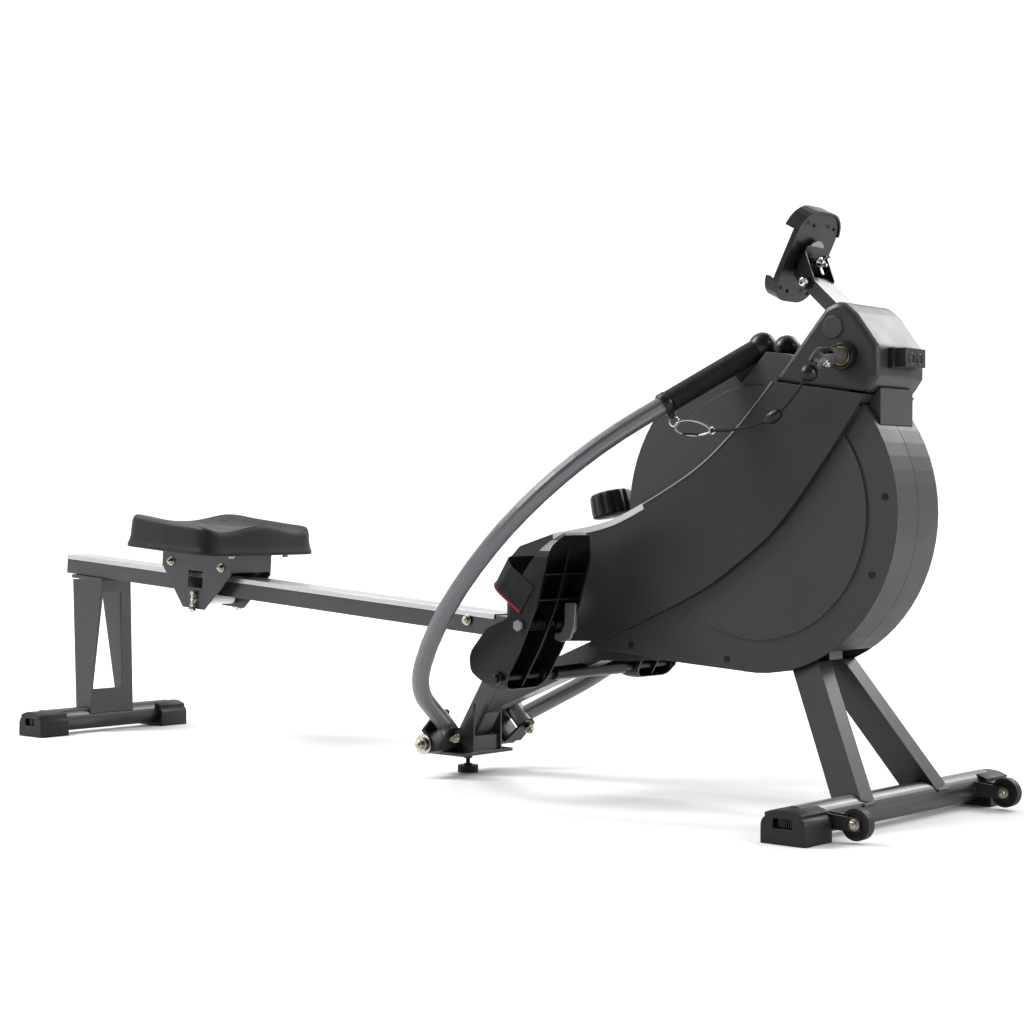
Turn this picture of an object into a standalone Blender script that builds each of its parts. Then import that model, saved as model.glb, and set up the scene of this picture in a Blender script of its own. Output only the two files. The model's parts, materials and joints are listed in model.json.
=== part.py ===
"""Rowing machine with two swing arms, a sliding seat and a magnetically braked flywheel.

Metres, +Z up. +X points from the seat's end to the flywheel, and "near" pieces are on the -Y side.
The origin is on the floor, under the centre of the machine.
"""

from math import atan, atan2, cos, pi, radians, sin, sqrt, tan

import bmesh
import bpy
from mathutils import Matrix, Vector

# Clearances
GAP = 0.0004
WALL = 0.004
SIDES = {"near": -1, "far": 1}

# Stabilizers and their caps
FRONT_X = 1.015
REAR_X = -FRONT_X
STABILIZER_RADIUS = 0.025
STABILIZER_Z = 0.031
FRONT_HALF = 0.322
REAR_HALF = 0.204
CAP_WIDTH = 0.081
CAP_LENGTH = 0.075
CAP_HEIGHT = 0.054
TRANSPORT_WHEEL = (1.0914, 0.0293)
TRANSPORT_WHEEL_RADIUS = 0.0244
TRANSPORT_WHEEL_Y = 0.234

# Rail: a beam that falls towards the front, with a light metal track on top
RAIL_SLOPE = radians(3.93)
RAIL_REAR_X = -1.1128
RAIL_REAR_TOP = 0.3938
RAIL_FRONT_X = 0.235
RAIL_HALF_WIDTH = 0.033
RAIL_HEIGHT = 0.042
TRACK_THICKNESS = 0.002
TRACK_FLANGE = 0.010

# Seat
CARRIAGE_X = -0.638
CARRIAGE_HALF_LENGTH = 0.110
CARRIAGE_HALF_WIDTH = 0.0565
CARRIAGE_TOP = 0.050
PLATE_BOTTOM = -0.074
ROLLER_RADIUS = 0.0185
ROLLER_SPACING = 0.081
UNDER_ROLLER_RADIUS = 0.0122
SEAT_THICKNESS = 0.063
SEAT_LENGTH = 0.246
SEAT_WIDTH = 0.300

# Frame
TUBE_SIZE = 0.040
TUBE_WALL = 0.003
POST_ANGLE = radians(58.3)
POST_FOOT = (0.096, 0.0625)
POST_LENGTH = 0.375
PIVOT_AXLE = (0.0902, 0.0625)
BASE_TUBE_START = (0.140, 0.1330)
BASE_TUBE_KNEE = (0.425, 0.2494)
BASE_TUBE_END = (0.905, 0.2744)
LEG_DEPTH = 0.052
LEG_WIDTH = 0.036
LEG_FOOT_Y = 0.115
LEG_TOP = (0.878, 0.034, 0.2520)

# Swing arms. A yoke turns on the pivot axle, and the arm spreads on a pin across the yoke
ARM_LEAN = radians(45.8)
PIN = (0.130, 0.106, 0.100)
ARM_RADIUS = 0.0155
ARM_START_HEADING = 145.0
ARM_CHAIN = ((0.123, 0.0), (0.147, -29.8), (0.300, -29.9), (0.329, -41.2), (0.236, 0.0))
GRIP_LENGTH = 0.205
GRIP_RADIUS = 0.0185
BALL_RADIUS = 0.0236

# Covers
DISC = (0.792, 0.4956)
DISC_RADIUS = 0.2658
RING_RADIUS = 0.211
SHELL_HALF = 0.064
RING_STEP = 0.003
BAND_HALF = 0.078
HEAD_HALF = 0.075
SWIVEL = (0.9655, 0.7457)
CORD_DIRECTION = (-0.60, -0.80)
CORD_EXIT_Y = 0.142
CORD_RADIUS = 0.0025
STOPPER_RADIUS = 0.0139

# Drive inside the covers
FLYWHEEL_RADIUS = 0.170
SPOOL = (0.580, 0.352)
SPOOL_PULLEY_RADIUS = 0.055
FLYWHEEL_PULLEY_RADIUS = 0.020

# Footrests
FOOT_AXLE = (0.383, 0.2095)
FOOT_AXLE_HALF = 0.2503
FOOT_OUTER = 0.245
FOOT_INNER = 0.127
FOOT_SLOPE = radians(55.3)
LOCK_SHAFT = (0.4305, 0.3015)

# Device holder
HOLDER_LEAN = radians(27.0)
HOLDER_CENTRE = (0.848, 0.9175)
HOLDER_HALF_WIDTH = 0.058
HOLDER_HALF_LENGTH = 0.078
HOLDER_PIVOT = (0.8665, 0.8740)
HOLDER_ARM_ANGLE = radians(-43.0)

KNOB = (0.438, 0.5080)
KNOB_LEAN = radians(14.0)

MATERIALS = {
    "frame_paint": ((0.09, 0.095, 0.105), 0.38, 0.6),
    "arm_paint": ((0.13, 0.135, 0.145), 0.32, 0.7),
    "track_metal": ((0.75, 0.76, 0.77), 0.35, 0.9),
    "cover_plastic": ((0.055, 0.056, 0.058), 0.45, 0.0),
    "cap_plastic": ((0.03, 0.03, 0.032), 0.55, 0.0),
    "black_plastic": ((0.015, 0.015, 0.016), 0.5, 0.0),
    "rubber": ((0.012, 0.012, 0.012), 0.8, 0.0),
    "foam": ((0.012, 0.012, 0.013), 0.75, 0.0),
    "steel": ((0.62, 0.61, 0.58), 0.25, 1.0),
    "cast_iron": ((0.16, 0.16, 0.16), 0.5, 1.0),
    "white_roller": ((0.82, 0.82, 0.80), 0.4, 0.0),
    "webbing": ((0.02, 0.02, 0.022), 0.9, 0.0),
    "cord": ((0.02, 0.02, 0.02), 0.7, 0.0),
}


# ---------------------------------------------------------------- helpers


def clear_scene():
    for obj in list(bpy.data.objects):
        bpy.data.objects.remove(obj, do_unlink=True)


def material(name):
    found = bpy.data.materials.get(name)
    if found:
        return found
    color, roughness, metallic = MATERIALS[name]
    made = bpy.data.materials.new(name)
    made.use_nodes = True
    shader = made.node_tree.nodes["Principled BSDF"]
    shader.inputs["Base Color"].default_value = (*color, 1.0)
    shader.inputs["Roughness"].default_value = roughness
    shader.inputs["Metallic"].default_value = metallic
    made.diffuse_color = (*color, 1.0)
    return made


def add_mesh(name, bm, finish):
    """A scene object from a bmesh whose points are in world coordinates."""
    bm.normal_update()
    bmesh.ops.recalc_face_normals(bm, faces=bm.faces)
    mesh = bpy.data.meshes.new(name)
    bm.to_mesh(mesh)
    bm.free()
    mesh.shade_smooth()
    mesh.set_sharp_from_angle(angle=radians(35))
    obj = bpy.data.objects.new(name, mesh)
    obj.data.materials.append(material(finish))
    bpy.context.scene.collection.objects.link(obj)
    return obj


class Frame:
    """An origin with three directions, which turns local (a, b, c) into a world point."""

    def __init__(self, origin, u, v, w):
        self.origin = Vector(origin)
        self.u = Vector(u)
        self.v = Vector(v)
        self.w = Vector(w)

    def point(self, a, b, c=0.0):
        return self.origin + self.u * a + self.v * b + self.w * c


SIDE_VIEW = Frame((0, 0, 0), (1, 0, 0), (0, 0, 1), (0, 1, 0))


def rail_frame(x):
    """Origin on the rail's top line at x: u along the rail, v out of its top, w across it."""
    z = RAIL_REAR_TOP - tan(RAIL_SLOPE) * (x - RAIL_REAR_X)
    along = (cos(RAIL_SLOPE), 0, -sin(RAIL_SLOPE))
    out = (sin(RAIL_SLOPE), 0, cos(RAIL_SLOPE))
    return Frame((x, 0, z), along, out, (0, 1, 0))


def arm_frame(side):
    """Origin on the spread pin: u outwards, v up the leaning plane of the arm, w along the pin."""
    up = (cos(ARM_LEAN), 0, sin(ARM_LEAN))
    across = (sin(ARM_LEAN), 0, -cos(ARM_LEAN))
    return Frame((PIN[0], side * PIN[1], PIN[2]), (0, side, 0), up, across)


def holder_frame():
    """Origin at the middle of the back plate: u across, v up its length, w out of its back."""
    up = (sin(HOLDER_LEAN), 0, cos(HOLDER_LEAN))
    back = (cos(HOLDER_LEAN), 0, -sin(HOLDER_LEAN))
    return Frame((HOLDER_CENTRE[0], 0, HOLDER_CENTRE[1]), (0, 1, 0), up, back)


def swivel_frame(side):
    """Origin where the swivel's axis meets the centre plane: u along the cord, v across it, w outwards."""
    along = (CORD_DIRECTION[0], 0, CORD_DIRECTION[1])
    across = (-CORD_DIRECTION[1], 0, CORD_DIRECTION[0])
    return Frame((SWIVEL[0], 0, SWIVEL[1]), along, across, (0, side, 0))


def slab(name, frame, outline, low, high, finish):
    """The outline, in the frame's u and v, extruded along w from low to high."""
    bm = bmesh.new()
    bottom = [bm.verts.new(frame.point(a, b, low)) for a, b in outline]
    top = [bm.verts.new(frame.point(a, b, high)) for a, b in outline]
    bm.faces.new(bottom)
    bm.faces.new(list(reversed(top)))
    for i in range(len(outline)):
        j = (i + 1) % len(outline)
        bm.faces.new((bottom[i], top[i], top[j], bottom[j]))
    return add_mesh(name, bm, finish)


def rod(name, start, end, radius, finish, sides=24, end_radius=None):
    """A round bar or, with end_radius, a cone between two points."""
    start = Vector(start)
    end = Vector(end)
    along = end - start
    bm = bmesh.new()
    bmesh.ops.create_cone(
        bm,
        cap_ends=True,
        segments=sides,
        radius1=radius,
        radius2=radius if end_radius is None else end_radius,
        depth=along.length,
    )
    turn = along.to_track_quat("Z", "Y").to_matrix().to_4x4()
    bm.transform(Matrix.Translation((start + end) / 2) @ turn)
    return add_mesh(name, bm, finish)


def ball(name, centre, radius, finish, rings=10):
    bm = bmesh.new()
    bmesh.ops.create_uvsphere(bm, u_segments=2 * rings, v_segments=rings, radius=radius)
    bm.transform(Matrix.Translation(Vector(centre)))
    return add_mesh(name, bm, finish)


def block(name, low, high, finish):
    outline = [(low[0], low[2]), (high[0], low[2]), (high[0], high[2]), (low[0], high[2])]
    return slab(name, SIDE_VIEW, outline, low[1], high[1], finish)


def combine(target, operation, other):
    """Adds a Boolean to target, and makes other a hidden helper."""
    modifier = target.modifiers.new(f"{operation.lower()} {other.name}", "BOOLEAN")
    modifier.operation = operation
    modifier.object = other
    other.hide_render = True
    other.display_type = "WIRE"
    return target


def join(target, *others):
    for other in others:
        combine(target, "UNION", other)
    return target


def cut(target, *others):
    for other in others:
        combine(target, "DIFFERENCE", other)
    return target


def hinge_at(obj, point):
    """Moves the object's origin onto its joint's axis and leaves its shape in place."""
    point = Vector(point)
    obj.data.transform(Matrix.Translation(-point))
    obj.location = point
    return obj


def arc(centre, radius, start, end, steps):
    """Points on a circle from start to end, in degrees, both ends included."""
    angles = [radians(start + (end - start) * i / steps) for i in range(steps + 1)]
    return [(centre[0] + radius * cos(a), centre[1] + radius * sin(a)) for a in angles]


def circle(centre, radius, count):
    return arc(centre, radius, 0, 360, count)[:-1]


def rectangle(low_a, low_b, high_a, high_b):
    return [(low_a, low_b), (high_a, low_b), (high_a, high_b), (low_a, high_b)]


def rounded(corners, steps=4):
    """Corners are (a, b, radius). Each corner with a radius becomes an arc."""
    outline = []
    for i, (a, b, radius) in enumerate(corners):
        here = Vector((a, b))
        if radius == 0:
            outline.append((a, b))
            continue
        before = (Vector(corners[i - 1][:2]) - here).normalized()
        after = (Vector(corners[(i + 1) % len(corners)][:2]) - here).normalized()
        half = before.angle(after) / 2
        middle = here + (before + after).normalized() * (radius / sin(half))
        first = here + before * (radius / tan(half)) - middle
        last = here + after * (radius / tan(half)) - middle
        start = atan2(first.y, first.x)
        sweep_angle = (atan2(last.y, last.x) - start + pi) % (2 * pi) - pi
        for k in range(steps + 1):
            angle = start + sweep_angle * k / steps
            outline.append((middle.x + radius * cos(angle), middle.y + radius * sin(angle)))
    return outline


def curve_through(points, steps):
    """A smooth curve through the points, a few steps for each stretch."""
    padded = [Vector(points[0]) * 2 - Vector(points[1])]
    padded += [Vector(p) for p in points]
    padded += [Vector(points[-1]) * 2 - Vector(points[-2])]
    found = []
    for i in range(1, len(padded) - 2):
        p0, p1, p2, p3 = padded[i - 1 : i + 3]
        for k in range(steps):
            t = k / steps
            cubic = 3 * p1 - 3 * p2 + p3 - p0
            square = 2 * p0 - 5 * p1 + 4 * p2 - p3
            found.append(tuple(p1 + ((p2 - p0) * t + square * t * t + cubic * t**3) / 2))
    found.append(tuple(padded[-2]))
    return found


def offset(outline, distance):
    """The outline moved inwards by distance, or outwards when it is negative."""
    count = len(outline)
    area = sum(
        outline[i - 1][0] * outline[i][1] - outline[i][0] * outline[i - 1][1] for i in range(count)
    )
    turn = 1 if area > 0 else -1
    moved = []
    for i in range(count):
        here = Vector(outline[i])
        before = (here - Vector(outline[i - 1])).normalized()
        after = (Vector(outline[(i + 1) % count]) - here).normalized()
        inward_before = Vector((-before.y, before.x)) * turn
        inward_after = Vector((-after.y, after.x)) * turn
        middle = (inward_before + inward_after).normalized()
        moved.append(tuple(here + middle * (distance / max(0.3, middle.dot(inward_after)))))
    return moved


def bar(name, start, end, depth, low_y, high_y, finish, extra=0.0):
    """A straight bar in the side view from start to end, of the given depth across its length."""
    along = Vector((end[0] - start[0], end[1] - start[1])).normalized()
    across = Vector((-along.y, along.x)) * (depth / 2)
    start = Vector(start) - along * extra
    end = Vector(end) + along * extra
    outline = [start - across, end - across, end + across, start + across]
    return slab(name, SIDE_VIEW, [tuple(p) for p in outline], low_y, high_y, finish)


# ---------------------------------------------------------------- base frame


def across_rod(name, centre, radius, low_y, high_y, finish, sides=32):
    """A round bar along Y at (x, z)."""
    return rod(name, (centre[0], low_y, centre[1]), (centre[0], high_y, centre[1]), radius, finish, sides)


def hollow_across(name, centre, radius, bore, low_y, high_y, finish, sides=32):
    """A round tube along Y."""
    tube = across_rod(name, centre, radius, low_y, high_y, finish, sides)
    core = across_rod(f"{name}_bore", centre, bore, low_y - 0.01, high_y + 0.01, finish, sides)
    return cut(tube, core)


def stabilizer(name, x, half_length):
    reach = half_length - CAP_LENGTH + 0.045
    bore = STABILIZER_RADIUS - TUBE_WALL
    return hollow_across(
        name, (x, STABILIZER_Z), STABILIZER_RADIUS, bore, -reach, reach, "frame_paint"
    )


def wheel_bracket(side):
    """Two ears welded to the front stabilizer, one on each side of a transport wheel."""
    wheel_x, wheel_z = TRANSPORT_WHEEL
    ear_profile = rounded(
        [
            (FRONT_X, STABILIZER_Z - 0.012, 0),
            (wheel_x + 0.010, wheel_z - 0.010, 0.006),
            (wheel_x + 0.010, wheel_z + 0.010, 0.006),
            (FRONT_X, STABILIZER_Z + 0.014, 0),
        ]
    )
    ears = []
    for k, reach in enumerate((-0.0115, 0.0085)):
        low = side * TRANSPORT_WHEEL_Y + reach
        ears.append(
            slab(f"wheel_ear_{side}_{k}", SIDE_VIEW, ear_profile, low, low + 0.003, "frame_paint")
        )
    return ears


def front_stabilizer():
    tube = stabilizer("front_stabilizer", FRONT_X, FRONT_HALF)
    hollow = across_rod(
        "ear_trim", (FRONT_X, STABILIZER_Z), STABILIZER_RADIUS - TUBE_WALL - 0.0003, -0.4, 0.4, "frame_paint"
    )
    for side in SIDES.values():
        join(tube, *wheel_bracket(side))
    return cut(tube, hollow)


def end_cap(name, x, side, half_length):
    """A sleeve over the stabilizer's end, with a window for its level dial."""
    profile = rounded(
        [
            (-CAP_WIDTH / 2, 0, 0),
            (CAP_WIDTH / 2, 0, 0),
            (CAP_WIDTH / 2, 0.030, 0.006),
            (CAP_WIDTH / 2 - 0.018, CAP_HEIGHT, 0.012),
            (-CAP_WIDTH / 2 + 0.018, CAP_HEIGHT, 0.012),
            (-CAP_WIDTH / 2, 0.030, 0.006),
        ],
        3,
    )
    profile = [(a + x, b) for a, b in profile]
    outer = side * half_length
    inner = side * (half_length - CAP_LENGTH)
    low, high = sorted((outer, inner))
    cap = slab(name, SIDE_VIEW, profile, low, high, "cap_plastic")
    reach = half_length - CAP_LENGTH + 0.045 + GAP
    low, high = sorted((inner - side * 0.01, side * reach))
    socket_radius = STABILIZER_RADIUS + GAP
    socket = across_rod(f"{name}_socket", (x, STABILIZER_Z), socket_radius, low, high, "cap_plastic")
    low, high = sorted((outer + side * 0.01, outer - side * 0.014))
    window = block(f"{name}_window", (x - 0.017, low, 0.024), (x + 0.017, high, 0.039), "cap_plastic")
    return cut(cap, socket, window)


def transport_wheel(name, side):
    x, z = TRANSPORT_WHEEL
    centre_y = side * TRANSPORT_WHEEL_Y
    wheel = across_rod(name, (x, z), TRANSPORT_WHEEL_RADIUS, centre_y - 0.008, centre_y + 0.008, "rubber")
    for k, reach in enumerate((-0.0100, 0.0100)):
        hollow = rod(
            f"{name}_recess_{k}",
            (x, centre_y + reach, z),
            (x, centre_y + reach * 0.7, z),
            TRANSPORT_WHEEL_RADIUS - 0.006,
            "rubber",
            32,
        )
        cut(wheel, hollow)
    return hinge_at(wheel, (x, centre_y, z))


def front_leg(name, side):
    """A rectangular tube from the front stabilizer up into the covers, leaning back and inwards."""
    foot = Vector((FRONT_X, side * LEG_FOOT_Y, STABILIZER_Z))
    top = Vector((LEG_TOP[0], side * LEG_TOP[1], LEG_TOP[2]))
    along = (top - foot).normalized()
    across = Vector((0, 1, 0)) - along * along.y
    across.normalize()
    depth = along.cross(across)
    frame = Frame(foot, depth, across, along)
    outline = rectangle(-LEG_DEPTH / 2, -LEG_WIDTH / 2, LEG_DEPTH / 2, LEG_WIDTH / 2)
    length = (top - foot).length
    leg = slab(name, frame, outline, 0, length, "frame_paint")
    hollow = slab(f"{name}_hollow", frame, offset(outline, TUBE_WALL), -0.05, length + 0.05, "frame_paint")
    saddle = across_rod(
        f"{name}_saddle", (FRONT_X, STABILIZER_Z), STABILIZER_RADIUS + GAP, -0.3, 0.3, "frame_paint"
    )
    middle = block(f"{name}_middle", (0.7, -0.0004, 0.1), (1.1, 0.0004, 0.4), "frame_paint")
    roof = leg_roof(name)
    return cut(leg, hollow, saddle, middle, roof)


def leg_roof(name):
    """The space over the leg, from the underside of the base tube upwards."""
    outline = [
        (0.6, base_tube_bottom(0.6) - GAP),
        (1.1, base_tube_bottom(1.1) - GAP),
        (1.1, 0.5),
        (0.6, 0.5),
    ]
    return slab(f"{name}_roof", SIDE_VIEW, outline, -0.3, 0.3, "frame_paint")


def base_tube_bottom(x):
    """Height of the base tube's underside along its nearly level stretch."""
    rise = (BASE_TUBE_END[1] - BASE_TUBE_KNEE[1]) / (BASE_TUBE_END[0] - BASE_TUBE_KNEE[0])
    return BASE_TUBE_KNEE[1] + rise * (x - BASE_TUBE_KNEE[0]) - TUBE_SIZE / 2 * sqrt(1 + rise * rise)


def rear_leg():
    """A folded channel that spreads downwards, with an open window in its front web."""
    top_z = 0.3385
    foot_z = STABILIZER_Z
    rear_top, front_top, half_top = -1.081, -0.976, 0.040
    rear_foot, front_foot, half_foot = -1.0400, -0.9920, 0.0605
    bm = bmesh.new()
    corners = []
    for z, rear, front, half in (
        (foot_z, rear_foot, front_foot, half_foot),
        (top_z, rear_top, front_top, half_top),
    ):
        corners.append([bm.verts.new((x, y, z)) for x, y in rectangle(rear, -half, front, half)])
    bm.faces.new(corners[0])
    bm.faces.new(list(reversed(corners[1])))
    for i in range(4):
        j = (i + 1) % 4
        bm.faces.new((corners[0][i], corners[1][i], corners[1][j], corners[0][j]))
    leg = add_mesh("rear_leg", bm, "frame_paint")

    def inner(y_wall):
        made = bmesh.new()
        rings = []
        for z, front, half in (
            (foot_z - 0.01, front_foot, half_foot),
            (top_z - WALL, front_top, half_top),
        ):
            outline = rectangle(-1.2, -half + y_wall, front - WALL, half - y_wall)
            rings.append([made.verts.new((x, y, z)) for x, y in outline])
        made.faces.new(rings[0])
        made.faces.new(list(reversed(rings[1])))
        for i in range(4):
            j = (i + 1) % 4
            made.faces.new((rings[0][i], rings[1][i], rings[1][j], rings[0][j]))
        return add_mesh("rear_leg_inside", made, "frame_paint")

    front_view = Frame((-1.0, 0, 0), (0, 1, 0), (0, 0, 1), (1, 0, 0))
    window_outline = rounded(
        [
            (-half_foot + 0.006, 0.096, 0.003),
            (0.026, 0.096, 0.003),
            (0.014, 0.312, 0.003),
            (-half_top + 0.005, 0.312, 0.003),
        ]
    )
    window = slab("rear_leg_window", front_view, window_outline, -0.05, 0.1, "frame_paint")
    saddle = across_rod(
        "rear_leg_saddle", (REAR_X, STABILIZER_Z), STABILIZER_RADIUS + GAP, -0.2, 0.2, "frame_paint"
    )
    slope = rail_frame(REAR_X)
    above = slab(
        "rear_leg_above",
        slope,
        rectangle(-0.3, -RAIL_HEIGHT - GAP, 0.3, 0.2),
        -0.2,
        0.2,
        "frame_paint",
    )
    roof = slab(
        "rear_leg_top",
        slope,
        rectangle(-0.067, -RAIL_HEIGHT - 0.008, 0.040, -RAIL_HEIGHT - 0.0005),
        -half_top,
        half_top,
        "frame_paint",
    )
    cut(leg, inner(WALL), window)
    join(leg, roof)
    return cut(leg, saddle, above)


# ---------------------------------------------------------------- rail


def rail_beam():
    """A rectangular tube that falls towards the front and stops at the post."""
    frame = rail_frame(RAIL_REAR_X)
    length = (RAIL_FRONT_X - RAIL_REAR_X) / cos(RAIL_SLOPE)
    half = RAIL_HALF_WIDTH - TRACK_THICKNESS - GAP
    top = -TRACK_THICKNESS - GAP
    beam = slab("rail_beam", frame, rectangle(0, -RAIL_HEIGHT, length, top), -half, half, "frame_paint")
    hollow = slab(
        "rail_beam_hollow",
        frame,
        rectangle(WALL, -RAIL_HEIGHT + TUBE_WALL, length + 0.1, top - TUBE_WALL),
        -half + TUBE_WALL,
        half - TUBE_WALL,
        "frame_paint",
    )
    return cut(beam, hollow, post_space("rail_beam_post"))


def rail_track():
    """The light metal channel over the beam."""
    frame = rail_frame(RAIL_REAR_X)
    length = (RAIL_FRONT_X - RAIL_REAR_X) / cos(RAIL_SLOPE) - 0.05
    half = RAIL_HALF_WIDTH
    track = slab("rail_track", frame, rectangle(0.001, -TRACK_FLANGE, length, 0), -half, half, "track_metal")
    under = slab(
        "rail_track_under",
        frame,
        rectangle(-0.1, -0.1, length + 0.1, -TRACK_THICKNESS),
        -half + TRACK_THICKNESS,
        half - TRACK_THICKNESS,
        "track_metal",
    )
    return cut(track, under)


def post_axis(distance):
    """A point on the post's centre line, in the side view."""
    return (
        POST_FOOT[0] + cos(POST_ANGLE) * distance,
        POST_FOOT[1] + sin(POST_ANGLE) * distance,
    )


def post_space(name):
    half = TUBE_SIZE / 2 + GAP
    return bar(name, post_axis(-0.05), post_axis(POST_LENGTH + 0.1), 2 * half, -half, half, "frame_paint")


def main_post():
    """The inclined post with the pivot bracket at its foot and the rail's socket on its back."""
    half = TUBE_SIZE / 2
    post = bar(
        "main_post", post_axis(-0.010), post_axis(POST_LENGTH), TUBE_SIZE, -half, half, "frame_paint"
    )
    housing = across_rod("pivot_housing", PIVOT_AXLE, 0.0180, -0.070, 0.070, "frame_paint")
    x, z = PIVOT_AXLE
    floor_plate = block("pivot_plate", (x - 0.030, -0.070, z - 0.0245), (x + 0.052, 0.070, z - 0.0185), "frame_paint")
    gusset_outline = [
        (x - 0.026, z - 0.020),
        (x + 0.050, z - 0.020),
        post_axis(0.085),
        post_axis(0.030),
    ]
    gussets = []
    for side in SIDES.values():
        low, high = sorted((side * 0.036, side * 0.040))
        ear = slab(f"pivot_gusset_{side}", SIDE_VIEW, gusset_outline, low, high, "frame_paint")
        gussets.append(ear)
    boss = rod("foot_boss", (x, 0, z - 0.036), (x, 0, z - 0.010), 0.0085, "frame_paint", 20)
    slope = rail_frame(0.200)
    half_socket = RAIL_HALF_WIDTH - TRACK_THICKNESS - TUBE_WALL - 3 * GAP
    socket = slab(
        "rail_socket",
        slope,
        rectangle(-0.125, -RAIL_HEIGHT + TUBE_WALL + 0.001, 0.020, -TRACK_THICKNESS - TUBE_WALL - 0.0015),
        -half_socket,
        half_socket,
        "frame_paint",
    )
    bridge = block("gusset_bridge", (x - 0.012, -0.040, z - 0.022), (x + 0.045, 0.040, z + 0.010), "frame_paint")
    join(post, housing, floor_plate, boss, socket, *gussets, bridge)
    axle_bore = across_rod("pivot_bore", PIVOT_AXLE, 0.0090 + GAP, -0.1, 0.1, "frame_paint")
    thread = rod("foot_thread", (x, 0, 0.0), (x, 0, z - 0.0150), 0.0040 + GAP, "frame_paint", 16)
    hollow = bar(
        "post_hollow",
        post_axis(0.060),
        post_axis(POST_LENGTH + 0.05),
        TUBE_SIZE - 2 * TUBE_WALL,
        -half + TUBE_WALL,
        half - TUBE_WALL,
        "frame_paint",
    )
    return cut(post, axle_bore, thread, hollow)


def base_tube():
    """The lower tube: up from the post, then nearly level inside the covers to the front legs."""
    half = TUBE_SIZE / 2
    tube = bar("base_tube", BASE_TUBE_START, BASE_TUBE_KNEE, TUBE_SIZE, -half, half, "frame_paint", 0.0)
    level = bar(
        "base_tube_level", BASE_TUBE_KNEE, BASE_TUBE_END, TUBE_SIZE, -half, half, "frame_paint", 0.0
    )
    knee = across_rod("base_tube_knee", BASE_TUBE_KNEE, half, -half, half, "frame_paint", 24)
    join(tube, level, knee)
    notch_radius = 0.0125 + GAP
    notch = across_rod("base_tube_notch", FOOT_AXLE, notch_radius, -0.1, 0.1, "frame_paint")
    return cut(tube, post_space("base_tube_post"), notch)


def pivot_axle():
    """The bar that both yokes swing on, with a washer and a bolt head at each end."""
    axle = across_rod("pivot_axle", PIVOT_AXLE, 0.0090, -0.1225, 0.1225, "steel", 24)
    for side in SIDES.values():
        for radius, start, end in ((0.0190, 0.1222, 0.1242), (0.0085, 0.1235, 0.1300)):
            low, high = sorted((side * start, side * end))
            join(axle, across_rod(f"axle_end_{side}_{radius}", PIVOT_AXLE, radius, low, high, "steel", 24))
    return axle


def levelling_foot():
    """A knurled disc on a threaded rod under the pivot bracket."""
    x = PIVOT_AXLE[0]
    foot = rod("levelling_foot", (x, 0, 0), (x, 0, 0.0130), 0.0195, "rubber", 40)
    stem = rod("levelling_stem", (x, 0, 0.0100), (x, 0, PIVOT_AXLE[1] - 0.0160), 0.0040, "steel", 16)
    collar = rod("levelling_collar", (x, 0, 0.0120), (x, 0, 0.0160), 0.0080, "steel", 20)
    join(foot, collar, stem)
    return hinge_at(foot, (x, 0, 0))


# ---------------------------------------------------------------- seat


def carriage_hole(name, frame, a, b, radius):
    return rod(name, frame.point(a, b, -0.1), frame.point(a, b, 0.1), radius, "frame_paint", 20)


def seat_carriage():
    """A box over the rail with two trapezoid side plates that reach under it."""
    frame = rail_frame(CARRIAGE_X)
    half = CARRIAGE_HALF_LENGTH
    width = CARRIAGE_HALF_WIDTH
    outline = [
        (-half, CARRIAGE_TOP),
        (-half, 0.010),
        (-0.036, PLATE_BOTTOM),
        (0.032, PLATE_BOTTOM),
        (half, 0.004),
        (half, CARRIAGE_TOP),
    ]
    carriage = slab("seat_carriage", frame, outline, -width, width, "frame_paint")
    wall = 0.003
    inside = slab(
        "carriage_inside",
        frame,
        rectangle(-half + wall, -0.2, half - wall, CARRIAGE_TOP - wall),
        -width + wall,
        width - wall,
        "frame_paint",
    )
    below = slab(
        "carriage_below",
        frame,
        rectangle(-0.3, -0.2, 0.3, 0.011),
        -width + wall,
        width - wall,
        "frame_paint",
    )
    window = slab(
        "carriage_window", frame, rectangle(-0.022, -0.029, 0.024, 0.006), -0.2, 0.2, "frame_paint"
    )
    cut(carriage, inside, below, window)
    for k, (a, b, radius) in enumerate(roller_axles()):
        cut(carriage, carriage_hole(f"carriage_hole_{k}", frame, a, b, radius + GAP))
    return carriage


def roller_axles():
    """Place along the rail, height over it and axle radius of the three rollers."""
    upper = ROLLER_RADIUS + 0.001
    lower = -RAIL_HEIGHT - UNDER_ROLLER_RADIUS - GAP
    return (
        (-ROLLER_SPACING, upper, 0.005),
        (ROLLER_SPACING, upper, 0.005),
        (0.0, lower, 0.004),
    )


def roller(name, index, radius, finish):
    frame = rail_frame(CARRIAGE_X)
    a, b, axle_radius = roller_axles()[index]
    half = 0.047
    wheel = rod(name, frame.point(a, b, -half), frame.point(a, b, half), radius, finish, 28)
    reach = CARRIAGE_HALF_WIDTH + 0.004
    axle = rod(f"{name}_axle", frame.point(a, b, -reach), frame.point(a, b, reach), axle_radius, "steel", 16)
    join(wheel, axle)
    return hinge_at(wheel, frame.point(a, b, 0))


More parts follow.
